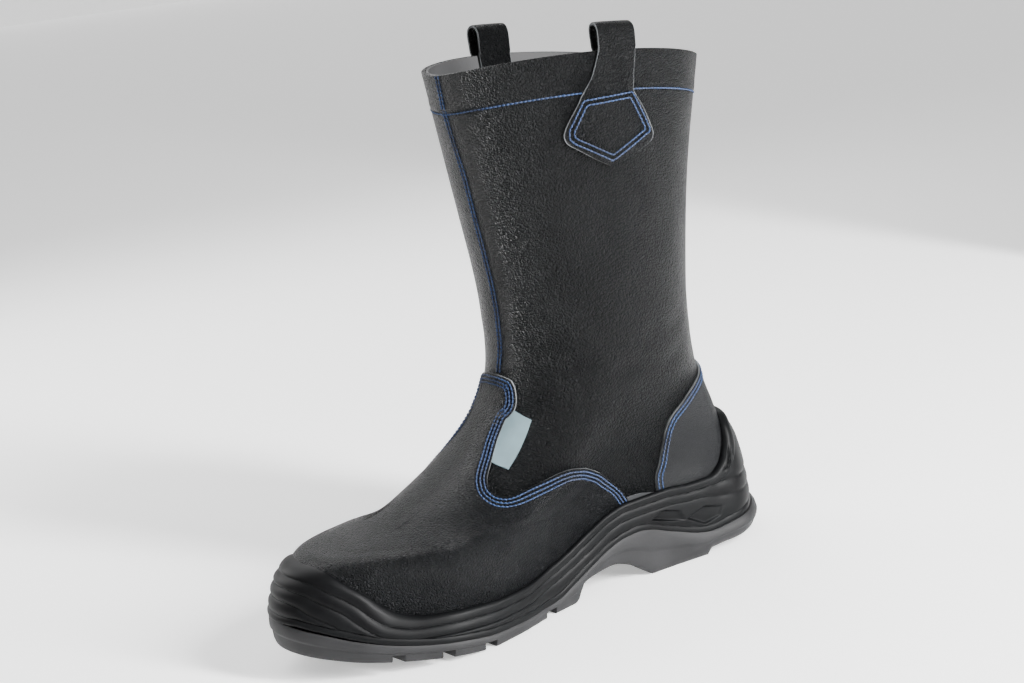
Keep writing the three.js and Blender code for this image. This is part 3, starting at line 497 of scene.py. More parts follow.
def start_material(name, **shader_values):
    material = bpy.data.materials.new(name)
    material.use_nodes = True
    tree = material.node_tree
    shader = tree.nodes["Principled BSDF"]
    for key, value in shader_values.items():
        shader.inputs[key.replace("_", " ")].default_value = value
    place = add(tree, "ShaderNodeTexCoord")
    scaled = add(tree, "ShaderNodeVectorMath", {0: place.outputs["Object"], 1: (1000, 1000, 1000)},
                 operation="MULTIPLY")
    return material, tree, shader, scaled.outputs[0]


def spread(tree, value, low, high, to_low, to_high):
    return add(tree, "ShaderNodeMapRange", {"Value": value, "From Min": low, "From Max": high,
                                            "To Min": to_low, "To Max": to_high}).outputs[0]


def grained_leather(name, dark, light, cell, depth, rough, crease):
    """Full-grain cowhide, drum dyed with a semi-gloss finish: small pebbles that catch the light,
    with fine furrows between them whose colour is painted darker as shade, a slightly uneven sheen. Cell
    and depth are millimetres."""
    material, tree, shader, millimetres = start_material(name, IOR=1.26)
    wander = add(tree, "ShaderNodeTexNoise", {"Vector": millimetres, "Scale": 0.22, "Detail": 3.0})
    pushed = add(tree, "ShaderNodeVectorMath",
                 {0: wander.outputs["Color"], 1: (3.0, 3.0, 3.0), 2: millimetres}, operation="MULTIPLY_ADD")
    pebbles = add(tree, "ShaderNodeTexVoronoi", {"Vector": pushed.outputs[0], "Scale": 1 / cell},
                  feature="DISTANCE_TO_EDGE")
    furrow = spread(tree, pebbles.outputs["Distance"], 0.0, 0.30, 0.0, 1.0)
    rounded = add(tree, "ShaderNodeMath", {0: furrow, 1: 0.6}, operation="POWER")
    stretched = add(tree, "ShaderNodeMapping", {"Vector": pushed.outputs[0],
                                                "Rotation": (0.2, 0.5, 0.3), "Scale": (0.16, 0.16, 0.42)})
    wrinkle = add(tree, "ShaderNodeTexVoronoi", {"Vector": stretched.outputs[0], "Scale": 1.0},
                  feature="DISTANCE_TO_EDGE")
    fold = spread(tree, wrinkle.outputs["Distance"], 0.0, 0.12, 0.0, 1.0)
    soft = add(tree, "ShaderNodeTexNoise", {"Vector": millimetres, "Scale": 0.05, "Detail": 4.0})
    pores = add(tree, "ShaderNodeTexNoise", {"Vector": millimetres, "Scale": 1.5, "Detail": 3.0})
    height = add(tree, "ShaderNodeMath", {0: rounded.outputs[0], 1: pores.outputs["Fac"]},
                 operation="MULTIPLY")
    creased = add(tree, "ShaderNodeMath", {0: fold, 1: crease, 2: height.outputs[0]},
                  operation="MULTIPLY_ADD")
    bump = add(tree, "ShaderNodeBump", {"Height": creased.outputs[0], "Strength": 1.0,
                                        "Distance": depth * MM})
    tint = spread(tree, soft.outputs["Fac"], 0.3, 0.7, 0.0, 1.0)
    mix = add(tree, "ShaderNodeMix", {0: tint, 6: linear(dark), 7: linear(light)}, data_type="RGBA")
    # painted shade: the colour goes darker (#08090a) down in the furrows between the pebbles
    furrow_shaded = add(tree, "ShaderNodeMix", {0: rounded.outputs[0], 6: linear("#08090a"), 7: mix.outputs[2]},
                   data_type="RGBA")
    tree.links.new(furrow_shaded.outputs[2], shader.inputs["Base Color"])
    tree.links.new(spread(tree, soft.outputs["Fac"], 0.25, 0.75, rough - 0.06, rough + 0.07),
                   shader.inputs["Roughness"])
    tree.links.new(bump.outputs[0], shader.inputs["Normal"])
    return material


def plain_finish(name, dark, light, grain, depth, rough, **values):
    """A material with an even fine grain: colour and roughness follow one broad noise, the bump a finer
    one.
    """
    material, tree, shader, millimetres = start_material(name, **values)
    noise = add(tree, "ShaderNodeTexNoise", {"Vector": millimetres, "Scale": grain, "Detail": 4.0})
    cloud = add(tree, "ShaderNodeTexNoise", {"Vector": millimetres, "Scale": 0.06, "Detail": 3.0})
    mix = add(tree, "ShaderNodeMix", data_type="RGBA")
    tree.links.new(spread(tree, cloud.outputs["Fac"], 0.3, 0.7, 0.0, 1.0), mix.inputs["Factor"])
    mix.inputs[6].default_value = linear(dark)
    mix.inputs[7].default_value = linear(light)
    tree.links.new(mix.outputs[2], shader.inputs["Base Color"])
    tree.links.new(spread(tree, cloud.outputs["Fac"], 0.25, 0.75, rough - 0.05, rough + 0.05),
                   shader.inputs["Roughness"])
    bump = add(tree, "ShaderNodeBump", {"Height": noise.outputs["Fac"], "Strength": 0.6,
                                        "Distance": depth * MM})
    tree.links.new(bump.outputs[0], shader.inputs["Normal"])
    return material


shaft_leather = grained_leather("semi_gloss_grained_cowhide", "#0b0c0d", "#111213", 1.9, 2.6, 0.36, 0.35)
vamp_leather = grained_leather("finer_grained_cowhide", "#0d0e10", "#141517", 1.6, 2.2, 0.36, 0.15)
# The counter is cut from the same hide, calendered smooth and a little bluer.
counter_leather = grained_leather("calendered_cowhide", "#050608", "#08090c", 1.2, 0.25, 0.6, 0.05)
# Cut edge of black cowhide: the undyed core shows light grey, fibrous and without gloss.
cut_edge = plain_finish("raw_cut_leather_edge", "#2c2d2f", "#5d6062", 1.1, 0.25, 0.9)
# Injected polyurethane foam with a satin moulded skin: near black, soft broad highlights.
midsole_skin = plain_finish("satin_moulded_polyurethane", "#040405", "#08090a", 0.9, 0.06, 0.5, IOR=1.19)
# Thermoplastic polyurethane outsole, mid grey, moulded against a finely blasted tool.
outsole_skin = plain_finish("blasted_grey_polyurethane", "#19191a", "#222223", 1.1, 0.1, 0.62, IOR=1.3)
# Bonded polyester thread, dyed blue.
thread = plain_finish("blue_polyester_thread", "#081a38", "#133058", 0.9, 0.1, 0.7)
# Painted shade of the needle holes: a matt black disc where the thread goes into the leather, between each
# two stitches.
hole_shade = plain_finish("painted_hole_shade", "#050505", "#090909", 3.0, 0.1, 0.9)
# Knitted polyester lining, dark grey.
lining = plain_finish("brushed_polyester_lining", "#1c1d1f", "#2a2b2d", 2.2, 0.4, 0.9)
insole_felt = plain_finish("needled_felt_insole", "#2a2b2d", "#37383a", 1.6, 0.5, 0.95)
facing_hide = plain_finish("split_leather_facing", "#1a1a1b", "#262627", 1.2, 0.2, 0.7)
tab_cloth = plain_finish("woven_satin_label", "#55676d", "#64797f", 2.5, 0.15, 0.65)


def ring_angles(count, crowding):
    """Angles around the upper, closer together at the front seam."""
    w = np.linspace(0, 2 * np.pi, count, endpoint=False)
    return w - crowding * np.sin(w)


def make_shaft():
    phi = ring_angles(336, 0.55)
    top_band = np.concatenate([np.arange(0, 17.5, 1.25), np.arange(17.6, 25.5, 0.42), [26.6, 28, 29.5]])
    shares = np.linspace(0, 1, 128)[1:] ** 0.92 * 0.93
    levels, depth = below_rim(top_band, shares, phi)
    angle = np.broadcast_to(phi, levels.shape)
    points = surface(levels, angle)
    normal = levelled_normal(levels, angle)
    lift = shaft_relief(points, angle, depth)
    outer = points + normal * lift[..., None]
    rim_points, rim_normal, rim_lift = points[0], normal[0], lift[0]
    # The rim's own profile: the leather's rounded edge, the slit, then the lining's edge.
    profile = [(-0.05, 0.0), (-0.35, 0.28), (-0.9, 0.3), (-1.2, 0.05), (-1.3, -0.7), (-1.4, 0.0),
               (-1.7, 0.2), (-2.15, 0.15), (-2.4, -0.1)]
    rim = [rim_points + rim_normal * (rim_lift + off)[..., None] * 1.0 + np.array([0, 0, rise])
           for off, rise in profile]
    inner_levels = np.concatenate([[TOP - 0.02], np.linspace(TOP - 0.3, 0.15, 44)])
    inner = [surface(level, phi) - WALL * levelled_normal(np.full_like(phi, level), phi)
             for level in inner_levels]
    rings = list(outer[::-1]) + rim + inner
    count = len(phi)
    points = np.vstack(rings)
    faces = grid_faces(len(rings), count, around=True)
    last = (len(rings) - 1) * count
    c = np.arange(count)
    d = (c + 1) % count
    closing = np.stack([last + c, last + d, d, c], -1)
    faces = np.vstack([faces, closing])
    material = np.zeros(len(faces), int)
    material[(len(outer) + len(rim)) * count:] = 1
    piece = make_piece("shaft_skin", points, faces, [shaft_leather, lining], material)
    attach(piece, "root")
    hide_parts("upper")
    return piece


def mirrored_edge(table, top_level, top_phi):
    """Control points of an overlay's edge from its outer low end over the middle to the inner."""
    outer = np.stack([table[:, 0], np.radians(table[:, 1])], -1)
    inner = outer * np.array([1, -1]) + np.array([0, 2 * top_phi])
    return np.vstack([outer[::-1], [[top_level, top_phi]], inner])


def edge_line(control, count):
    """The edge as evenly spaced points in level and angle, smooth on the surface."""
    scale = np.array([25.0, 55.0])
    line = spline(control * scale, 1200) / scale
    return respace(line, surface(line[:, 0], line[:, 1]), count)


def march(line, side, distance, step=0.5):
    """Moves a line over the surface, square to itself, and keeps every stage."""
    stages = [line.copy()]
    for _ in range(int(round(distance / step))):
        level, phi = line[:, 0], line[:, 1]
        p = surface(level, phi)
        along = unit(np.gradient(p, axis=0))
        n = surface_normal(level, phi)
        across = side * np.cross(n, along)
        by_level = (surface(level + 0.02, phi) - surface(level - 0.02, phi)) / 0.04
        by_phi = (surface(level, phi + 0.01) - surface(level, phi - 0.01)) / 0.02
        a = (by_level ** 2).sum(1)
        b = (by_level * by_phi).sum(1)
        c = (by_phi ** 2).sum(1)
        e = (by_level * across).sum(1) * step
        f = (by_phi * across).sum(1) * step
        det = a * c - b * b
        line = line + np.stack([(c * e - b * f) / det, (a * f - b * e) / det], -1)
        stages.append(line.copy())
    return stages


SEAM_REACH = 7.0  # width of the strip along a panel's edge that carries its stitch rows
PANEL_DEPTH = 100.0  # nominal distance from that strip to the panel's bottom line


def make_overlay(name, node, edge, side, rows_of_stitches, bottom, rows, skin):
    """A panel sewn over the upper, with a raw edge and stitch rows parallel to it. Side says to
    which side of the edge the panel lies; a bottom of None is worked out for the vamp."""
    count = len(edge)
    stages = march(edge, side, SEAM_REACH)
    last = stages[-1]
    lines, distance = [], []
    for k, stage in enumerate(stages):
        lines.append(stage)
        distance.append(k * 0.5)
    # below the seam the marched line is evened out, so that no column crosses its neighbour
    window = 40
    padded = np.vstack([2 * last[0] - last[window:0:-1], last, 2 * last[-1] - last[-2:-window - 2:-1]])
    weights = np.hanning(2 * window + 1)
    weights /= weights.sum()
    last = np.stack([np.convolve(padded[:, k], weights, mode="valid") for k in range(2)], -1)
    if bottom is None:
        bottom = vamp_bottom(last)
    for t in np.linspace(0.07, 1, rows + 1):
        lines.append(last + (bottom - last) * t)
        distance.append(SEAM_REACH + PANEL_DEPTH * t)
    lines = np.array(lines)
    distance = np.array(distance)
    points = surface(lines[..., 0], lines[..., 1])
    normal = levelled_normal(lines[..., 0], lines[..., 1])
    thick = np.full(len(distance), GAP + OVERLAY)
    for row in rows_of_stitches:
        thick += groove(distance - row, 0.6, 0.32)
    thick += 0.15 * np.exp(-((distance - rows_of_stitches[-1] - 2.2) / 1.6) ** 2)
    thick[0] -= 0.35
    lift = thick[:, None] + crease_relief(points)
    outer = points + normal * lift[..., None]
    foot = points[0] + normal[0] * (GAP * 0.2)
    middle = points[0] + normal[0] * (GAP + OVERLAY * 0.45) - 0.1 * (points[1] - points[0])
    inner = points + normal * GAP * 0.2
    rings = [foot, middle] + list(outer)
    sheet = np.array(rings + list(inner[::-4]))
    faces = grid_faces(len(sheet), count)
    material = np.zeros(len(faces), int)
    material[:2 * (count - 1)] = 1
    piece = make_piece(name, sheet, faces, [skin, cut_edge], material, sharp=60)
    close_sheet(piece, sheet.shape[0], count)
    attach(piece, "root")
    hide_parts(node)
    paths = []
    for row in rows_of_stitches:
        k = row / 0.5
        low, high = int(math.floor(k)), int(math.ceil(k))
        t = k - low
        line = stages[low] * (1 - t) + stages[high] * t
        p = surface(line[:, 0], line[:, 1])
        n = levelled_normal(line[:, 0], line[:, 1])
        up = GAP + OVERLAY + crease_relief(p)
        paths.append((p + n * up[:, None], n))
    return paths


def close_sheet(piece, rows, columns):
    """Closes a folded grid: its last row meets its first, and both ends are filled."""
    work = bmesh.new()
    work.from_mesh(piece.data)
    work.verts.ensure_lookup_table()
    at = lambda r, c: work.verts[r * columns + c]
    for c in range(columns - 1):
        face = work.faces.new([at(rows - 1, c), at(rows - 1, c + 1), at(0, c + 1), at(0, c)])
        face.smooth = True
    open_edges = [e for e in work.edges if e.is_boundary]
    bmesh.ops.holes_fill(work, edges=open_edges)
    bmesh.ops.triangulate(work, faces=[f for f in work.faces if len(f.verts) > 4])
    bmesh.ops.recalc_face_normals(work, faces=work.faces)
    if work.calc_volume(signed=True) < 0:
        bmesh.ops.reverse_faces(work, faces=work.faces)
    work.to_mesh(piece.data)
    work.free()


def midsole_edge_level(phi):
    low, high = np.zeros_like(phi), np.full_like(phi, TOP / 2)
    for _ in range(30):
        level = (low + high) / 2
        p = surface(level, phi)
        above = p[..., 2] > edge_z(p[..., 0])
        high = np.where(above, level, high)
        low = np.where(above, low, level)
    return (low + high) / 2


def vamp_bottom(line):
    """Lower line of the vamp, hidden behind the midsole, spread like the line above it."""
    half = np.minimum.accumulate(line[:len(line) // 2, 1])
    phi = np.concatenate([half, -half[::-1]])
    phi = 0.75 * phi + 0.25 * np.linspace(1, -1, len(line)) * phi[0]
    return np.stack([np.maximum(midsole_edge_level(phi) - 0.55, 0.05), phi], -1)


def counter_bottom(count):
    end = math.radians(COUNTER_EDGE[-1, 1])
    phi = np.linspace(end, 2 * np.pi - end, 900)
    level = np.maximum(midsole_edge_level(phi) - 0.75, 0.05)
    line = np.stack([level, phi], -1)
    return respace(line, surface(level, phi), count)


# Grooves of the midsole's wall: millimetres below the line they follow, and above the parting.
WALL_GROOVES = (5.2, 10.4, 16.7)
BASE_GROOVE = 3.3
CUP_BEAD = 6.0
# Recesses in the wall beside the heel, as seen from the side (x, z).
RECESSES = [
    [(85.5, 32.6), (76.1, 36.4), (65.1, 33.6), (61.7, 26.0), (72.0, 28.4)],
    [(60.8, 26.8), (47.0, 31.2), (34.2, 27.9), (37.8, 22.3), (48.5, 19.7)],
]
SLOTS = [(21.5, 57.4), (22.0, 54.0), (23.2, 51.0), (26.3, 48.0)]


def below_line(at, line_z, around, z):
    """Distance on the flattened wall to a closed line around it, negative above the line."""
    step = np.roll(at, -1) - at
    step[-1] += around
    rise = np.roll(line_z, -1) - line_z
    length = step ** 2 + rise ** 2
    start_x = at[None, :] - at[:, None]
    start_x -= around * np.round(start_x / around)
    start_z = line_z[None, :] - z[:, None]
    t = np.clip(-(start_x * step + start_z * rise) / length, 0, 1)
    distance = np.hypot(start_x + t * step, start_z + t * rise).min(1)
    return distance * np.sign(line_z - z)


def bead(into, left):
    """A rounded bead between two grooves, from the distances to both."""
    share = np.clip(into / np.maximum(into + left, 1e-6), 0, 1)
    return np.sin(np.pi * share) ** 0.45


def inside_outline(x, z, outline):
    """Distance inside a convex outline, negative outside."""
    corners = np.asarray(outline, float)
    ahead = np.roll(corners, -1, axis=0)
    turn = np.sign(np.sum(corners[:, 0] * ahead[:, 1] - ahead[:, 0] * corners[:, 1]))
    depth = np.full_like(x, 1e9)
    for (ax, az), (bx, bz) in zip(corners, ahead):
        length = math.hypot(bx - ax, bz - az)
        depth = np.minimum(depth, turn * ((bx - ax) * (z - az) - (bz - az) * (x - ax)) / length)
    return depth


def wall_relief(under, from_edge, above, x, z):
    """Beads, grooves, heel cup and recesses moulded into the wall, in millimetres outwards."""
    along = x / SOLE_LENGTH
    toe = smoothstep(along, 0.86, 0.94)
    heel = 1 - smoothstep(along, 0.10, 0.15)
    first, second, third = WALL_GROOVES
    second = second + 3.6 * (1 - smoothstep(along, 0.08, 0.17))
    third = np.where(toe > 0.02, third, 1e3)
    deep = 1.05 + 0.35 * toe
    base = above - BASE_GROOVE
    out = np.where(under < first, bead(under + 1.5, first - under), 0)
    out = np.where((under < first / 2) & (heel > 0.5), 1, out)
    out = np.where((under >= first) & (under < second), bead(under - first, second - under), out)
    last = np.where(under >= third, third, second)
    middle = (under >= second) & (under < third)
    whole = bead(under - second, np.minimum(base, np.where(toe > 0.02, third - under, 1e3)))
    split = bead(under - last, np.maximum(base, 0))
    out = np.where(middle, whole, out)
    out = np.where(under >= third, split * toe + (1 - toe), out)
    out = np.where(base < 0, bead(above + 1.2, -base) * 0.9, out)
    out = out * deep - deep * 0.6
    cup = heel * smoothstep(above, 14, 20)
    ridge = bead(np.minimum(from_edge + 1.8, 1e3), CUP_BEAD - from_edge) * (from_edge < CUP_BEAD)
    out = out + cup * (1.15 * ridge - 0.35)
    for outline in RECESSES:
        inner = inside_outline(x, z, outline)
        # deepest under the front edge, running out to nothing at the back
        fade = smoothstep(x, outline[2][0] - 10, outline[0][0] - 4)
        out = out - 2.6 * smoothstep(inner, -0.2, 1.0) * fade
    for slot_x, slot_z in SLOTS:
        lean = (x - slot_x) * 0.85 + (z - slot_z) * 0.5
        across = (z - slot_z) * 0.85 - (x - slot_x) * 0.5
        out = out - 1.3 * np.exp(-(lean / 1.7) ** 4 - (across / 0.75) ** 4)
    return out


def make_midsole():
    count = 560
    phi = np.linspace(0, 2 * np.pi, count, endpoint=False)
    level = midsole_edge_level(phi)
    foot = sole_edge(phi, -bulge(phi, HEEL_BULGE))
    low = sole_z("parting", foot[:, 0]) + GAP
    n = surface_normal(level, phi)
    n[:, 2] = 0
    n = unit(n)
    cover = OVERLAY + 2 * GAP + EDGE
    top = surface(level, phi) + n * cover
    height = top[:, 2] - low
    tall = smoothstep(height / SOLE_HEIGHT, 0.29, 0.7)
    shares = np.linspace(0, 1, 104)
    fine = np.linspace(0, TOP / 2, 121)
    column = surface(fine[:, None], phi[None, :])
    rim_line = surface(level, phi)
    lengths = np.linalg.norm(np.roll(rim_line, -1, axis=0)[:, :2] - rim_line[:, :2], axis=1)
    at = np.cumsum(lengths) - lengths
    followed = edge_z(rim_line[:, 0], 2)
    along = foot[:, 0] / SOLE_LENGTH
    toe = smoothstep(along, 0.86, 0.94)
    rings = []
    for share in shares:
        z = low + height * share
        near = np.empty((count, 3))
        for c in range(count):
            reach = min(np.interp(z[c], column[:, c, 2], fine), level[c])
            near[c, 0] = np.interp(reach, fine, column[:, c, 0])
            near[c, 1] = np.interp(reach, fine, column[:, c, 1])
        near += n * cover
        weight = share ** (2.2 - 0.5 * tall - 0.6 * toe)
        under = below_line(at, followed, lengths.sum(), z)
        from_edge = below_line(at, top[:, 2], lengths.sum(), z)
        out = wall_relief(under, from_edge, z - low, foot[:, 0], z)
        # the top edge is rounded over towards the leather
        down = np.abs(from_edge)
        out = out - 2.0 * (1 - np.sqrt(1 - np.clip(1 - down / 2.0, 0, 1) ** 2))
        x = foot[:, 0] + (near[:, 0] - foot[:, 0]) * weight + n[:, 0] * out
        y = foot[:, 1] + (near[:, 1] - foot[:, 1]) * weight + n[:, 1] * out
        rings.append(np.stack([x, y, z], -1))
    lip = surface(level, phi) + n * (OVERLAY + GAP + 0.55)
    lip[:, 2] = rings[-1][:, 2] - 0.15
    sunk = surface(np.maximum(level - 0.35, 0), phi) + n * (OVERLAY + GAP * 1.2)
    sunk[:, 2] = lip[:, 2] - 4
    under = sole_edge(phi, 9.0)
    under = np.stack([under[:, 0], under[:, 1], sole_z("parting", under[:, 0]) + GAP], -1)
    rings += [lip, sunk, under]
    points = np.vstack(rings)
    faces = grid_faces(len(rings), count, around=True)
    last = (len(rings) - 1) * count
    c = np.arange(count)
    d = (c + 1) % count
    faces = np.vstack([faces, np.stack([last + c, last + d, d, c], -1)])
    piece = make_piece("midsole_skin", points, faces, [midsole_skin])
    close_outwards(piece)
    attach(piece, "root")
    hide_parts("midsole")
    return piece


def make_outsole():
    count = 420
    phi = np.linspace(0, 2 * np.pi, count, endpoint=False)
    x = sole_edge(phi)[:, 0]
    low, high = sole_z("tread", x), sole_z("parting", x)
    rings = []
    profile = [(2.2, 0.0), (1.5, 0.03), (1.1, 0.1), (0.7, 0.2), (0.55, 0.34), (0.45, 0.48), (0.35, 0.53),
               (-0.35, 0.58), (-0.5, 0.64), (-0.4, 0.8), (-0.1, 0.93), (0.35, 1.0)]
    for inset, share in profile:
        flare = min(1, 0.35 + 1.3 * share * (1.25 - share))
        p = sole_edge(phi, inset - bulge(phi, HEEL_FLARE * flare))
        rings.append(np.stack([p[:, 0], p[:, 1], low + (high - low) * share], -1))
    points = list(np.vstack(rings))
    faces = [list(f) for f in grid_faces(len(rings), count, around=True)]
    # floors: strips across from one side to the other
    def strip(start, up):
        for i in range(count // 2):
            a, b = start + i, start + i + 1
            c, d = start + count - i - 1, start + (count - i) % count
            face = [a, b, c, d]
            face = [v for k, v in enumerate(face) if v not in face[:k]]
            if len(face) > 2:
                faces.append(face if up else face[::-1])
    strip(0, False)
    strip((len(rings) - 1) * count, True)
    piece = make_piece("outsole_skin", np.array(points), faces, [outsole_skin], sharp=38)
    close_outwards(piece)
    cutters = []
    def bar(x0, y0, x1, y1, width):
        along = unit(np.array([x1 - x0, y1 - y0]))
        across = np.array([-along[1], along[0]]) * width / 2
        base = [np.array([x0, y0]) - across, np.array([x1, y1]) - across,
                np.array([x1, y1]) + across, np.array([x0, y0]) + across]
        lower = [[*p, -20.0] for p in base]
        upper = [[*p, min(float(sole_z("tread", p[0])), 8.5) + LUG_DEPTH] for p in base]
        faces = [[0, 3, 2, 1], [4, 5, 6, 7], [0, 1, 5, 4], [1, 2, 6, 5], [2, 3, 7, 6], [3, 0, 4, 7]]
        cutters.append((lower + upper, faces))
    for along, width, slant, reach in GROOVES:
        width, slant = width * CHANNEL_WIDTH, slant * CHANNEL_WIDTH
        x0 = along * SOLE_LENGTH
        for side in (-1, 1):
            half = float(sole_half(np.array([side * math.acos(2 * along - 1)]))[0])
            share = (half * reach - 5) / (half - 5)
            bar(x0 - slant, side * 5, x0 - slant + share * slant, side * (5 + share * (half - 5)), width)
    for begin, end in CHANNELS:
        bar(begin * SOLE_LENGTH, 0, end * SOLE_LENGTH, 0, CHANNEL_WIDTH)
    corners = np.vstack([points for points, _ in cutters])
    sides = [[v + 8 * k for v in face] for k, (_, faces) in enumerate(cutters) for face in faces]
    tool = make_piece("groove_tool", corners, sides, [])
    close_outwards(tool)
    cut = piece.modifiers.new("cut", "BOOLEAN")
    cut.operation = "DIFFERENCE"
    cut.solver = "EXACT"
    cut.use_self = True
    cut.object = tool
    apply_modifiers(piece)
    bpy.data.objects.remove(tool)
    piece.data.set_sharp_from_angle(angle=math.radians(38))
    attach(piece, "root")
    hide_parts("outsole")
    return piece


def apply_modifiers(piece):
    """The evaluated shape becomes the piece's own plain mesh."""
    ready = piece.evaluated_get(bpy.context.evaluated_depsgraph_get())
    mesh = bpy.data.meshes.new_from_object(ready)
    old = piece.data
    piece.modifiers.clear()
    piece.data = mesh
    mesh.name = piece.name
    bpy.data.meshes.remove(old)


def strap_outline(below):
    """Middle and half width of the strap at distances below the rim."""
    order = STRAP_ROWS[::-1] * np.array([PATCH_HEIGHT, PATCH_WIDTH, PATCH_WIDTH])
    return curve(order[:, 0], order[:, 1], below), curve(order[:, 0], order[:, 2], below)


def strap_lines(side, across, count_leg=64):
    """Middle of the strap at places across it: up the shaft, over the rim and back inside."""
    rise = LOOP_RISE[side]
    half = STRAP_THICKNESS / 2
    centre = LOOP_PLACE[side] * SOLE_LENGTH
    outside = GAP + half
    inside = -WALL - 2 * GAP - FACING_THICKNESS - half
    across = across[None, :]

    def rim(x):
        phi = side * np.arccos(2 * (x - BACK_X[-1]) / (FRONT_X[-1] - BACK_X[-1]) - 1)
        return surface(float(TOP), phi)[..., 2], phi

    middle = float(rim(np.array([centre]))[0][0])
    below = np.concatenate([np.linspace(PATCH_HEIGHT, 52, 14), np.linspace(51, 0, count_leg - 14)])
    forward, width = strap_outline(below)
    x = centre + forward[:, None] + across * width[:, None]
    top, _ = rim(x)
    z = middle - below[:, None] + smoothstep(below[:, None], 12, 0) * (top - middle)
    level, phi = find(x, np.minimum(z, top - 0.01), side)
    leg = surface(level, phi) + levelled_normal(level, phi) * outside
    forward, width = strap_outline(np.zeros(1))
    x_end = centre + forward[0] + across * width[0]
    rim_z, rim_phi = rim(x_end)
    n = surface_normal(np.full_like(rim_phi, TOP), rim_phi)
    n[..., 2] = 0
    n = unit(n)
    base = surface(float(TOP), rim_phi)
    reach = (outside - inside) / 2
    turn = np.linspace(0, np.pi, 30)[:, None]
    swell = reach * (1 + 0.65 * np.sin(turn)) + LOOP_SWELL
    off = (outside + inside) / 2 + swell * np.cos(turn)
    up = 2 + (rise - 2) * np.sin(turn) ** 0.55
    loop = base + n * off[..., None]
    loop[..., 2] = rim_z + up
    depth = np.linspace(0.01, INNER_LEG, 10)[:, None]
    level, phi = find(np.broadcast_to(x_end, (10, across.size)), rim_z - 0.01 - depth, side)
    back = surface(level, phi) + levelled_normal(level, phi) * inside
    return np.concatenate([leg, loop, back])


def make_loop(side, name, node):
    """A leather pull loop: patch, strap and the leg inside the collar, with raw edges."""
    half = STRAP_THICKNESS / 2
    places = np.concatenate([[-1, -0.985, -0.95], np.linspace(-0.88, 0.88, 21), [0.95, 0.985, 1]])
    centre = strap_lines(side, places)
    along = np.gradient(centre, axis=0)
    sideways = np.gradient(centre, axis=1)
    n = unit(np.cross(sideways, along)) * -side
    leg = np.arange(len(centre))
    crease = np.zeros(len(centre))
    for at in (49, 52, 55, 58):
        crease += -0.28 * np.exp(-((leg - at) / 0.9) ** 2)
    wave = crease[:, None] * (0.6 + 0.4 * np.cos(places * 5 + 1))[None, :]
    thin = half * np.where(np.abs(places) > 0.98, 0.55, np.where(np.abs(places) > 0.94, 0.92, 1))
    front = centre + n * (thin[None, :] + wave)[..., None]
    back = centre - n * thin[None, :, None]
    rows, columns = centre.shape[:2]
    sheet = np.concatenate([front, back[:, ::-1]], axis=1)
    ring = sheet.shape[1]
    points = sheet.reshape(-1, 3)
    r = np.arange(rows - 1)[:, None]
    c = np.arange(ring)[None, :]
    d = (c + 1) % ring
    faces = np.stack([r * ring + c, r * ring + d, (r + 1) * ring + d, (r + 1) * ring + c],
                     -1).reshape(-1, 4)
    edge_columns = {0, columns - 2, columns - 1, columns, ring - 2, ring - 1}
    material = np.array([1 if k % ring in edge_columns else 0 for k in range(len(faces))])
    faces = [list(f) for f in faces]
    for row in (0, rows - 1):
        for k in range(columns - 1):
            a, b = row * ring + k, row * ring + k + 1
            faces.append([a, b, row * ring + ring - 2 - k, row * ring + ring - 1 - k])
    material = np.concatenate([material, np.ones(len(faces) - len(material), int)])
    piece = make_piece(name, points, faces, [shaft_leather, cut_edge], material, sharp=60)
    close_outwards(piece)
    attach(piece, "root")
    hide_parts(node)
    return piece


def ring_piece(name, node, levels, outer, inner, material, count=200):
    phi = np.linspace(0, 2 * np.pi, count, endpoint=False)
    rings = []
    for level in levels:
        rings.append(surface(level, phi) + outer * levelled_normal(np.full_like(phi, level), phi))
    for level in levels[::-1]:
        rings.append(surface(level, phi) + inner * levelled_normal(np.full_like(phi, level), phi))
    faces = grid_faces(len(rings), count, around=True)
    last = (len(rings) - 1) * count
    c = np.arange(count)
    d = (c + 1) % count
    faces = np.vstack([faces, np.stack([last + c, last + d, d, c], -1)])
    piece = make_piece(name, np.vstack(rings), faces, [material])
    close_outwards(piece)
    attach(piece, "root")
    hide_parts(node)
    return piece


def make_insole():
    count = 200
    phi = np.linspace(0, 2 * np.pi, count, endpoint=False)
    n = levelled_normal(np.zeros(count), phi)
    base = surface(0.0, phi)
    rings = []
    for inset, up in [(0, 0), (0, INSOLE_THICKNESS - 0.6), (0.3, INSOLE_THICKNESS - 0.15),
                      (0.9, INSOLE_THICKNESS)]:
        p = base - n * (WALL + GAP + 0.3 + inset)
        p[:, 2] = base[:, 2] + up
        rings.append(p)
    faces = [list(f) for f in grid_faces(len(rings), count, around=True)]
    for start, up in ((0, False), ((len(rings) - 1) * count, True)):
        for i in range(count // 2):
            face = [start + i, start + i + 1, start + count - i - 1, start + (count - i) % count]
            face = [v for k, v in enumerate(face) if v not in face[:k]]
            if len(face) > 2:
                faces.append(face if up else face[::-1])
    piece = make_piece("insole_felt", np.vstack(rings), faces, [insole_felt])
    close_outwards(piece)
    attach(piece, "root")
    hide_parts("insole")
    return piece


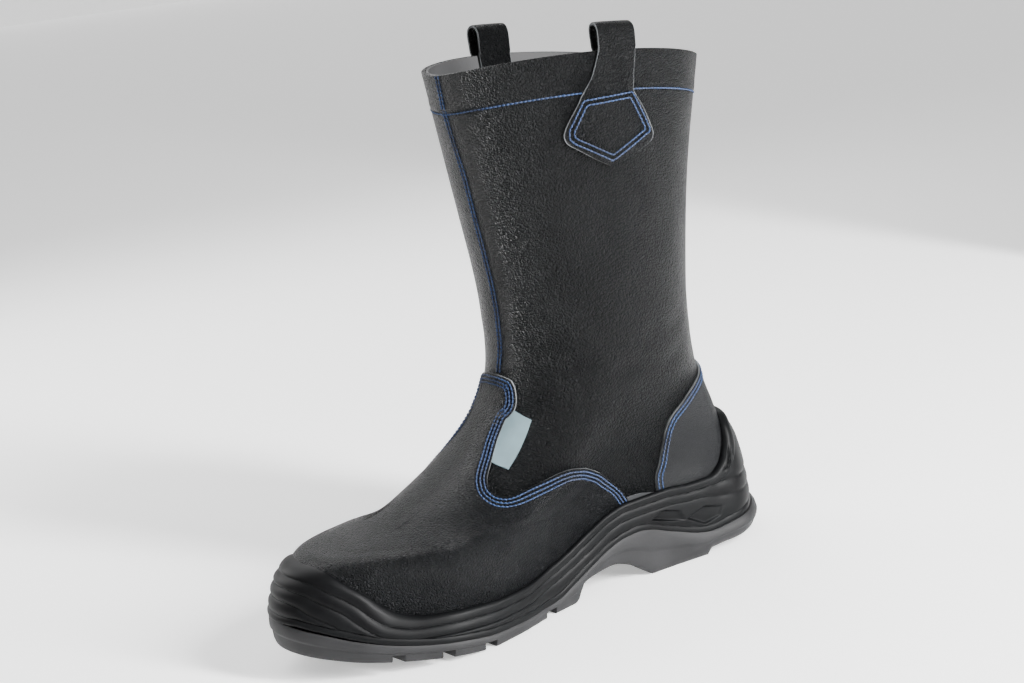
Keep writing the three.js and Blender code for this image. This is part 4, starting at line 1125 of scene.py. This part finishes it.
def make_tab():
    top_front, top_back, low_back, low_front = TAB_CORNERS * np.array([1, math.pi / 180])
    t = np.linspace(0, 1, 40)[:, None, None]
    s = np.linspace(0, 1, 20)[None, :, None]
    # its front edge is tucked under the vamp's edge
    beside = vamp_edge[:len(vamp_edge) // 2]
    places = surface(beside[:, 0], beside[:, 1])
    high, low = [np.linalg.norm(places - surface(*corner), axis=1).argmin()
                 for corner in (top_front, low_front)]
    tucked = respace(beside[low:high + 1], places[low:high + 1], 40)[::-1, None]
    flat = tucked * (1 - s) + (top_back * (1 - t) + low_back * t) * s
    level, phi = flat[..., 0].ravel(), flat[..., 1].ravel()
    p, n = surface(level, phi), levelled_normal(level, phi)
    front = (p + n * (GAP + TAB_THICKNESS)).reshape(40, 20, 3)
    back = (p + n * GAP * 0.3).reshape(40, 20, 3)
    sheet = np.concatenate([front, back[:, ::-1]], axis=1)
    ring = sheet.shape[1]
    r = np.arange(39)[:, None]
    c = np.arange(ring)[None, :]
    d = (c + 1) % ring
    faces = [list(f) for f in
             np.stack([r * ring + c, r * ring + d, (r + 1) * ring + d, (r + 1) * ring + c],
                      -1).reshape(-1, 4)]
    for row in (0, 39):
        for k in range(19):
            faces.append([row * ring + k, row * ring + k + 1, row * ring + ring - 2 - k,
                          row * ring + ring - 1 - k])
    piece = make_piece("side_label", sheet.reshape(-1, 3), faces, [tab_cloth])
    close_outwards(piece)
    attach(piece, "root")
    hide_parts("side_tab")
    return piece


def stitch_tree():
    """Geometry nodes that sew a line: one arched length of thread after another, with a black disc of
    painted hole shade between each two.
    """
    tree = bpy.data.node_groups.new("stitches", "GeometryNodeTree")
    tree.interface.new_socket("Line", in_out="INPUT", socket_type="NodeSocketGeometry")
    sizes = {}
    for key in ("Pitch", "Length", "Thickness", "Arch", "Sink", "Hole", "Hole Rise"):
        sizes[key] = tree.interface.new_socket(key, in_out="INPUT", socket_type="NodeSocketFloat")
    for key in ("Thread", "Hole Shade"):
        sizes[key] = tree.interface.new_socket(key, in_out="INPUT", socket_type="NodeSocketMaterial")
    tree.interface.new_socket("Stitches", in_out="OUTPUT", socket_type="NodeSocketGeometry")
    given = add(tree, "NodeGroupInput").outputs
    to_curve = add(tree, "GeometryNodeMeshToCurve", {"Mesh": given["Line"]})
    spaced = add(tree, "GeometryNodeResampleCurve",
                 {"Curve": to_curve.outputs[0], "Length": given["Pitch"]},
                 mode="LENGTH")
    half = add(tree, "ShaderNodeMath", {0: given["Length"], 1: 0.5}, operation="MULTIPLY")
    minus = add(tree, "ShaderNodeMath", {0: given["Length"], 1: -0.5}, operation="MULTIPLY")
    down = add(tree, "ShaderNodeMath", {0: given["Sink"], 1: -1.0}, operation="MULTIPLY")
    start = add(tree, "ShaderNodeCombineXYZ", {"X": minus.outputs[0], "Z": down.outputs[0]})
    top = add(tree, "ShaderNodeCombineXYZ", {"Z": given["Arch"]})
    end = add(tree, "ShaderNodeCombineXYZ", {"X": half.outputs[0], "Z": down.outputs[0]})
    arc = add(tree, "GeometryNodeCurveQuadraticBezier", {"Resolution": 4, "Start": start.outputs[0],
                                                         "Middle": top.outputs[0], "End": end.outputs[0]})
    round_ = add(tree, "GeometryNodeCurvePrimitiveCircle", {"Resolution": 6, "Radius": given["Thickness"]})
    body = add(tree, "GeometryNodeCurveToMesh",
               {"Curve": arc.outputs[0], "Profile Curve": round_.outputs[0],
                "Fill Caps": True})
    smooth = add(tree, "GeometryNodeSetShadeSmooth", {0: body.outputs[0]})
    between = add(tree, "ShaderNodeMath", {0: given["Pitch"], 1: 0.5}, operation="MULTIPLY")
    beside = add(tree, "ShaderNodeCombineXYZ", {"X": between.outputs[0], "Z": given["Hole Rise"]})
    # a flat black disc between two stitches stands in for the needle hole: painted shade, not a cut hole
    disc = add(tree, "GeometryNodeMeshCircle", {"Vertices": 8, "Radius": given["Hole"]}, fill_type="NGON")
    lifted = add(tree, "GeometryNodeTransform", {0: disc.outputs[0], "Translation": beside.outputs[0]})
    tangent = add(tree, "GeometryNodeInputTangent")
    lie = add(tree, "GeometryNodeInputNamedAttribute", {"Name": "lie"}, data_type="FLOAT_VECTOR")
    turned = add(tree, "FunctionNodeAlignRotationToVector", {"Vector": tangent.outputs[0]}, axis="X")
    level = add(tree, "FunctionNodeAlignRotationToVector",
                {"Rotation": turned.outputs[0], "Vector": lie.outputs[0]}, axis="Z", pivot_axis="X")
    sewn = []
    for shape, material in ((smooth, "Thread"), (lifted, "Hole Shade")):
        placed = add(tree, "GeometryNodeInstanceOnPoints",
                     {"Points": spaced.outputs[0], "Instance": shape.outputs[0],
                      "Rotation": level.outputs[0]})
        real = add(tree, "GeometryNodeRealizeInstances", {0: placed.outputs[0]})
        sewn.append(add(tree, "GeometryNodeSetMaterial", {0: real.outputs[0], "Material": given[material]}))
    joined = add(tree, "GeometryNodeJoinGeometry", {0: sewn[0].outputs[0]})
    tree.links.new(sewn[1].outputs[0], joined.inputs[0])
    add(tree, "NodeGroupOutput", {0: joined.outputs[0]})
    return tree, sizes


sewing, sewing_sizes = stitch_tree()


def sew(name, paths, pitch=2.35, length=1.8, thickness=0.46, arch=0.8, sink=0.30):
    """Stitches along paths of (points, normals)."""
    mesh = bpy.data.meshes.new(name)
    points, normals, edges = [], [], []
    for line, lie in paths:
        start = len(points)
        points += list(to_frame(line))
        normals += list(lie)
        edges += [(start + k, start + k + 1) for k in range(len(line) - 1)]
    mesh.from_pydata([tuple(p) for p in points], edges, [])
    mesh.attributes.new("lie", "FLOAT_VECTOR", "POINT").data.foreach_set(
        "vector", np.array(normals, dtype=np.float32).ravel())
    piece = bpy.data.objects.new(name, mesh)
    bpy.context.collection.objects.link(piece)
    sewn = piece.modifiers.new("sewing", "NODES")
    sewn.node_group = sewing
    values = {"Pitch": pitch, "Length": length, "Thickness": thickness, "Arch": arch, "Sink": sink,
              "Hole": 0.62, "Hole Rise": 0.03}
    for key, value in values.items():
        sewn[sewing_sizes[key].identifier] = value * MM
    sewn[sewing_sizes["Thread"].identifier] = thread
    sewn[sewing_sizes["Hole Shade"].identifier] = hole_shade
    apply_modifiers(piece)
    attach(piece, "root")
    return piece


def shaft_path(levels, phi, depth):
    p = surface(levels, phi)
    n = levelled_normal(levels, phi)
    lift = shaft_relief(p, phi, depth)
    return p + n * (lift + 0.2)[:, None], n


def collar_seam():
    phi = np.linspace(0, 2 * np.pi, 700)
    levels, depth = below_rim(np.array([0.0, COLLAR_SEAM]), np.array([0.5]), phi)
    return shaft_path(levels[1], phi, depth[1])


def front_seam(row):
    """One stitch row down the front, at a set distance behind the lapped edge."""
    z = np.linspace(SHAFT_HEIGHT - 3, 134.5, 260)
    offset = curve(FRONT_SEAM[:, 0], FRONT_SEAM[:, 1], z)
    low, high = np.zeros_like(z), np.full_like(z, TOP)
    for _ in range(40):
        level = (low + high) / 2
        phi_low, phi_high = np.zeros_like(z), np.full_like(z, 0.6)
        for _ in range(18):
            phi = (phi_low + phi_high) / 2
            over = surface(level, phi)[:, 1] > row + offset
            phi_high = np.where(over, phi, phi_high)
            phi_low = np.where(over, phi_low, phi)
        above = surface(level, phi)[:, 2] > z
        high = np.where(above, level, high)
        low = np.where(above, low, level)
    depth = SHAFT_HEIGHT - z
    return shaft_path(level, phi, depth)


def patch_rows(side, inset):
    """A stitch row inside the patch's edge: a pentagon with its point down and rounded corners,
    closed by the collar seam at the top."""
    centre = LOOP_PLACE[side] * SOLE_LENGTH
    below = np.array([COLLAR_SEAM, 30, 38, 44.0, 47.5])
    forward, width = strap_outline(below)
    tip = (strap_outline(np.array([PATCH_HEIGHT]))[0][0], -PATCH_HEIGHT)
    outline = np.vstack([np.stack([forward - width, -below], -1), tip,
                         np.stack([forward + width, -below], -1)[::-1]])
    outline = respace(np.vstack([outline, outline[:1]]), np.vstack([outline, outline[:1]]), 400)[:-1]
    ahead, behind = np.roll(outline, -6, axis=0), np.roll(outline, 6, axis=0)
    tangent = unit(ahead - behind)
    moved = outline + np.stack([-tangent[:, 1], tangent[:, 0]], -1) * inset
    keep = np.array([np.min(np.linalg.norm(outline - m, axis=1)) > inset * 0.95 for m in moved])
    moved = moved[keep & (moved[:, 1] < -COLLAR_SEAM)]
    turn = np.argmax(np.linalg.norm(moved - np.roll(moved, 1, axis=0), axis=1))
    moved = np.roll(moved, -turn, axis=0)
    line = respace(np.vstack([moved, moved[:1]]), np.vstack([moved, moved[:1]]), 260)
    kernel = np.ones(5) / 5
    padded = np.vstack([line[-3:-1], line, line[1:3]])
    line = np.stack([np.convolve(padded[:, k], kernel, mode="valid") for k in range(2)], -1)
    phi = side * np.arccos(2 * (centre - BACK_X[-1]) / (FRONT_X[-1] - BACK_X[-1]) - 1)
    rim = surface(float(TOP), phi)[2]
    level, phi = find(centre + line[:, 0], rim + line[:, 1], side)
    n = levelled_normal(level, phi)
    return surface(level, phi) + n * (GAP + STRAP_THICKNESS), n


make_shaft()
vamp_control = mirrored_edge(VAMP_EDGE, VAMP_TOP, 0.0)
vamp_edge = edge_line(vamp_control, 620)
vamp_rows = make_overlay("vamp_skin", "vamp", vamp_edge, 1,
                         (1.6, 3.7, 5.8), None, 52, vamp_leather)
counter_level, _ = find(np.array([-50.0]), np.array([COUNTER_TOP]), 1)
counter_control = mirrored_edge(COUNTER_EDGE, counter_level[0], np.pi)
counter_edge = edge_line(counter_control, 360)
counter_rows = make_overlay("counter_skin", "heel_counter", counter_edge, -1,
                            (1.5, 4.2), counter_bottom(360), 40, counter_leather)
make_midsole()
make_outsole()
make_insole()
share = FACING_DEPTH / (surface(TOP, 0.0)[2] - surface(TOP - 1, 0.0)[2])
ring_piece("facing_band", "collar_facing", np.linspace(TOP - share, TOP, 12), -WALL - GAP,
           -WALL - GAP - FACING_THICKNESS, facing_hide)
make_loop(1, "outer_pull_loop", "pull_loop_outer")
make_loop(-1, "inner_pull_loop", "pull_loop_inner")
make_tab()
sew("vamp_stitches", vamp_rows)
sew("counter_stitches", counter_rows)
sew("shaft_stitches", [collar_seam()] + [front_seam(row) for row in FRONT_ROWS])
sew("loop_stitches", [patch_rows(side, inset) for side in (1, -1) for inset in (2.1, 4.8)])


def area_light(name, place, target, size, watts, colour=(1, 1, 1)):
    data = bpy.data.lights.new(name, "AREA")
    data.shape = "RECTANGLE"
    data.size, data.size_y = size
    data.energy = watts
    data.color = colour
    lamp = bpy.data.objects.new(name, data)
    lamp.location = place
    lamp.rotation_euler = (Vector(target) - Vector(place)).to_track_quat("-Z", "Y").to_euler()
    bpy.context.collection.objects.link(lamp)


def stage_card(name, corners, material):
    mesh = bpy.data.meshes.new(name)
    mesh.from_pydata(corners, [], [(0, 1, 2, 3)])
    mesh.materials.append(material)
    card = bpy.data.objects.new(name, mesh)
    bpy.context.collection.objects.link(card)
    return card


def set_stage():
    """A wide pale floor, a soft sun from above and soft boxes around; the surround is dim, so
    the leather shows each box as a band of sheen of its own. Lengths are metres in the frame."""
    # A lit white table: it glows a little by itself, so it stays pale under few lights.
    table = plain_finish("matt_white_studio_floor", "#f4f4f4", "#f7f7f7", 0.02, 0.01, 0.9,
                         Emission_Color=(1, 1, 1, 1), Emission_Strength=0.52)
    half = 60.0
    floor = stage_card("floor", [(-half, -half, 0), (half, -half, 0), (half, half, 0), (-half, half, 0)],
                       table)
    # The far end of the sweep, upright behind the boot, closes the view above the table.
    away = Vector((-0.47, -0.83, 0)).normalized() * 40
    across = Vector((-away.y, away.x, 0))
    up = Vector((0, 0, 30))
    feet = [away - across, away + across]
    sweep = stage_card("sweep", [tuple(c) for c in feet + [feet[1] + up, feet[0] + up]], table)
    # A black card out of view behind the heel keeps the leather's far edge darker.
    black = plain_finish("matt_black_card", "#020202", "#030303", 0.5, 0.01, 0.95)
    flag = stage_card("flag", [(-0.78, -0.18, 0.0), (-2.14, 0.59, 0.0),
                               (-2.14, 0.59, 1.5), (-0.78, -0.18, 1.5)], black)
    world = bpy.data.worlds.new("surround")
    bpy.context.scene.world = world
    world.use_nodes = True
    world.node_tree.nodes["Background"].inputs["Color"].default_value = (1, 1, 1, 1)
    world.node_tree.nodes["Background"].inputs["Strength"].default_value = 0.12
    data = bpy.data.lights.new("overhead", "SUN")
    data.energy = 1.15
    data.angle = math.radians(60)
    sun = bpy.data.objects.new("overhead", data)
    sun.rotation_euler = (math.radians(-8), math.radians(12), 0)
    bpy.context.collection.objects.link(sun)
    area_light("right_box", (-0.6, 1.45, 0.85), (-0.05, 0, 0.18), (0.24, 1.0), 150)
    area_light("rear_left_box", (0.62, -1.2, 0.75), (0.02, 0, 0.15), (0.4, 1.1), 15)
    area_light("rear_box", (-0.25, -1.15, 1.05), (0.03, 0, 0.1), (0.8, 0.5), 12)
    area_light("toe_box", (1.5, 0.55, 0.9), (0.08, 0, 0.05), (0.7, 0.6), 5)


set_stage()
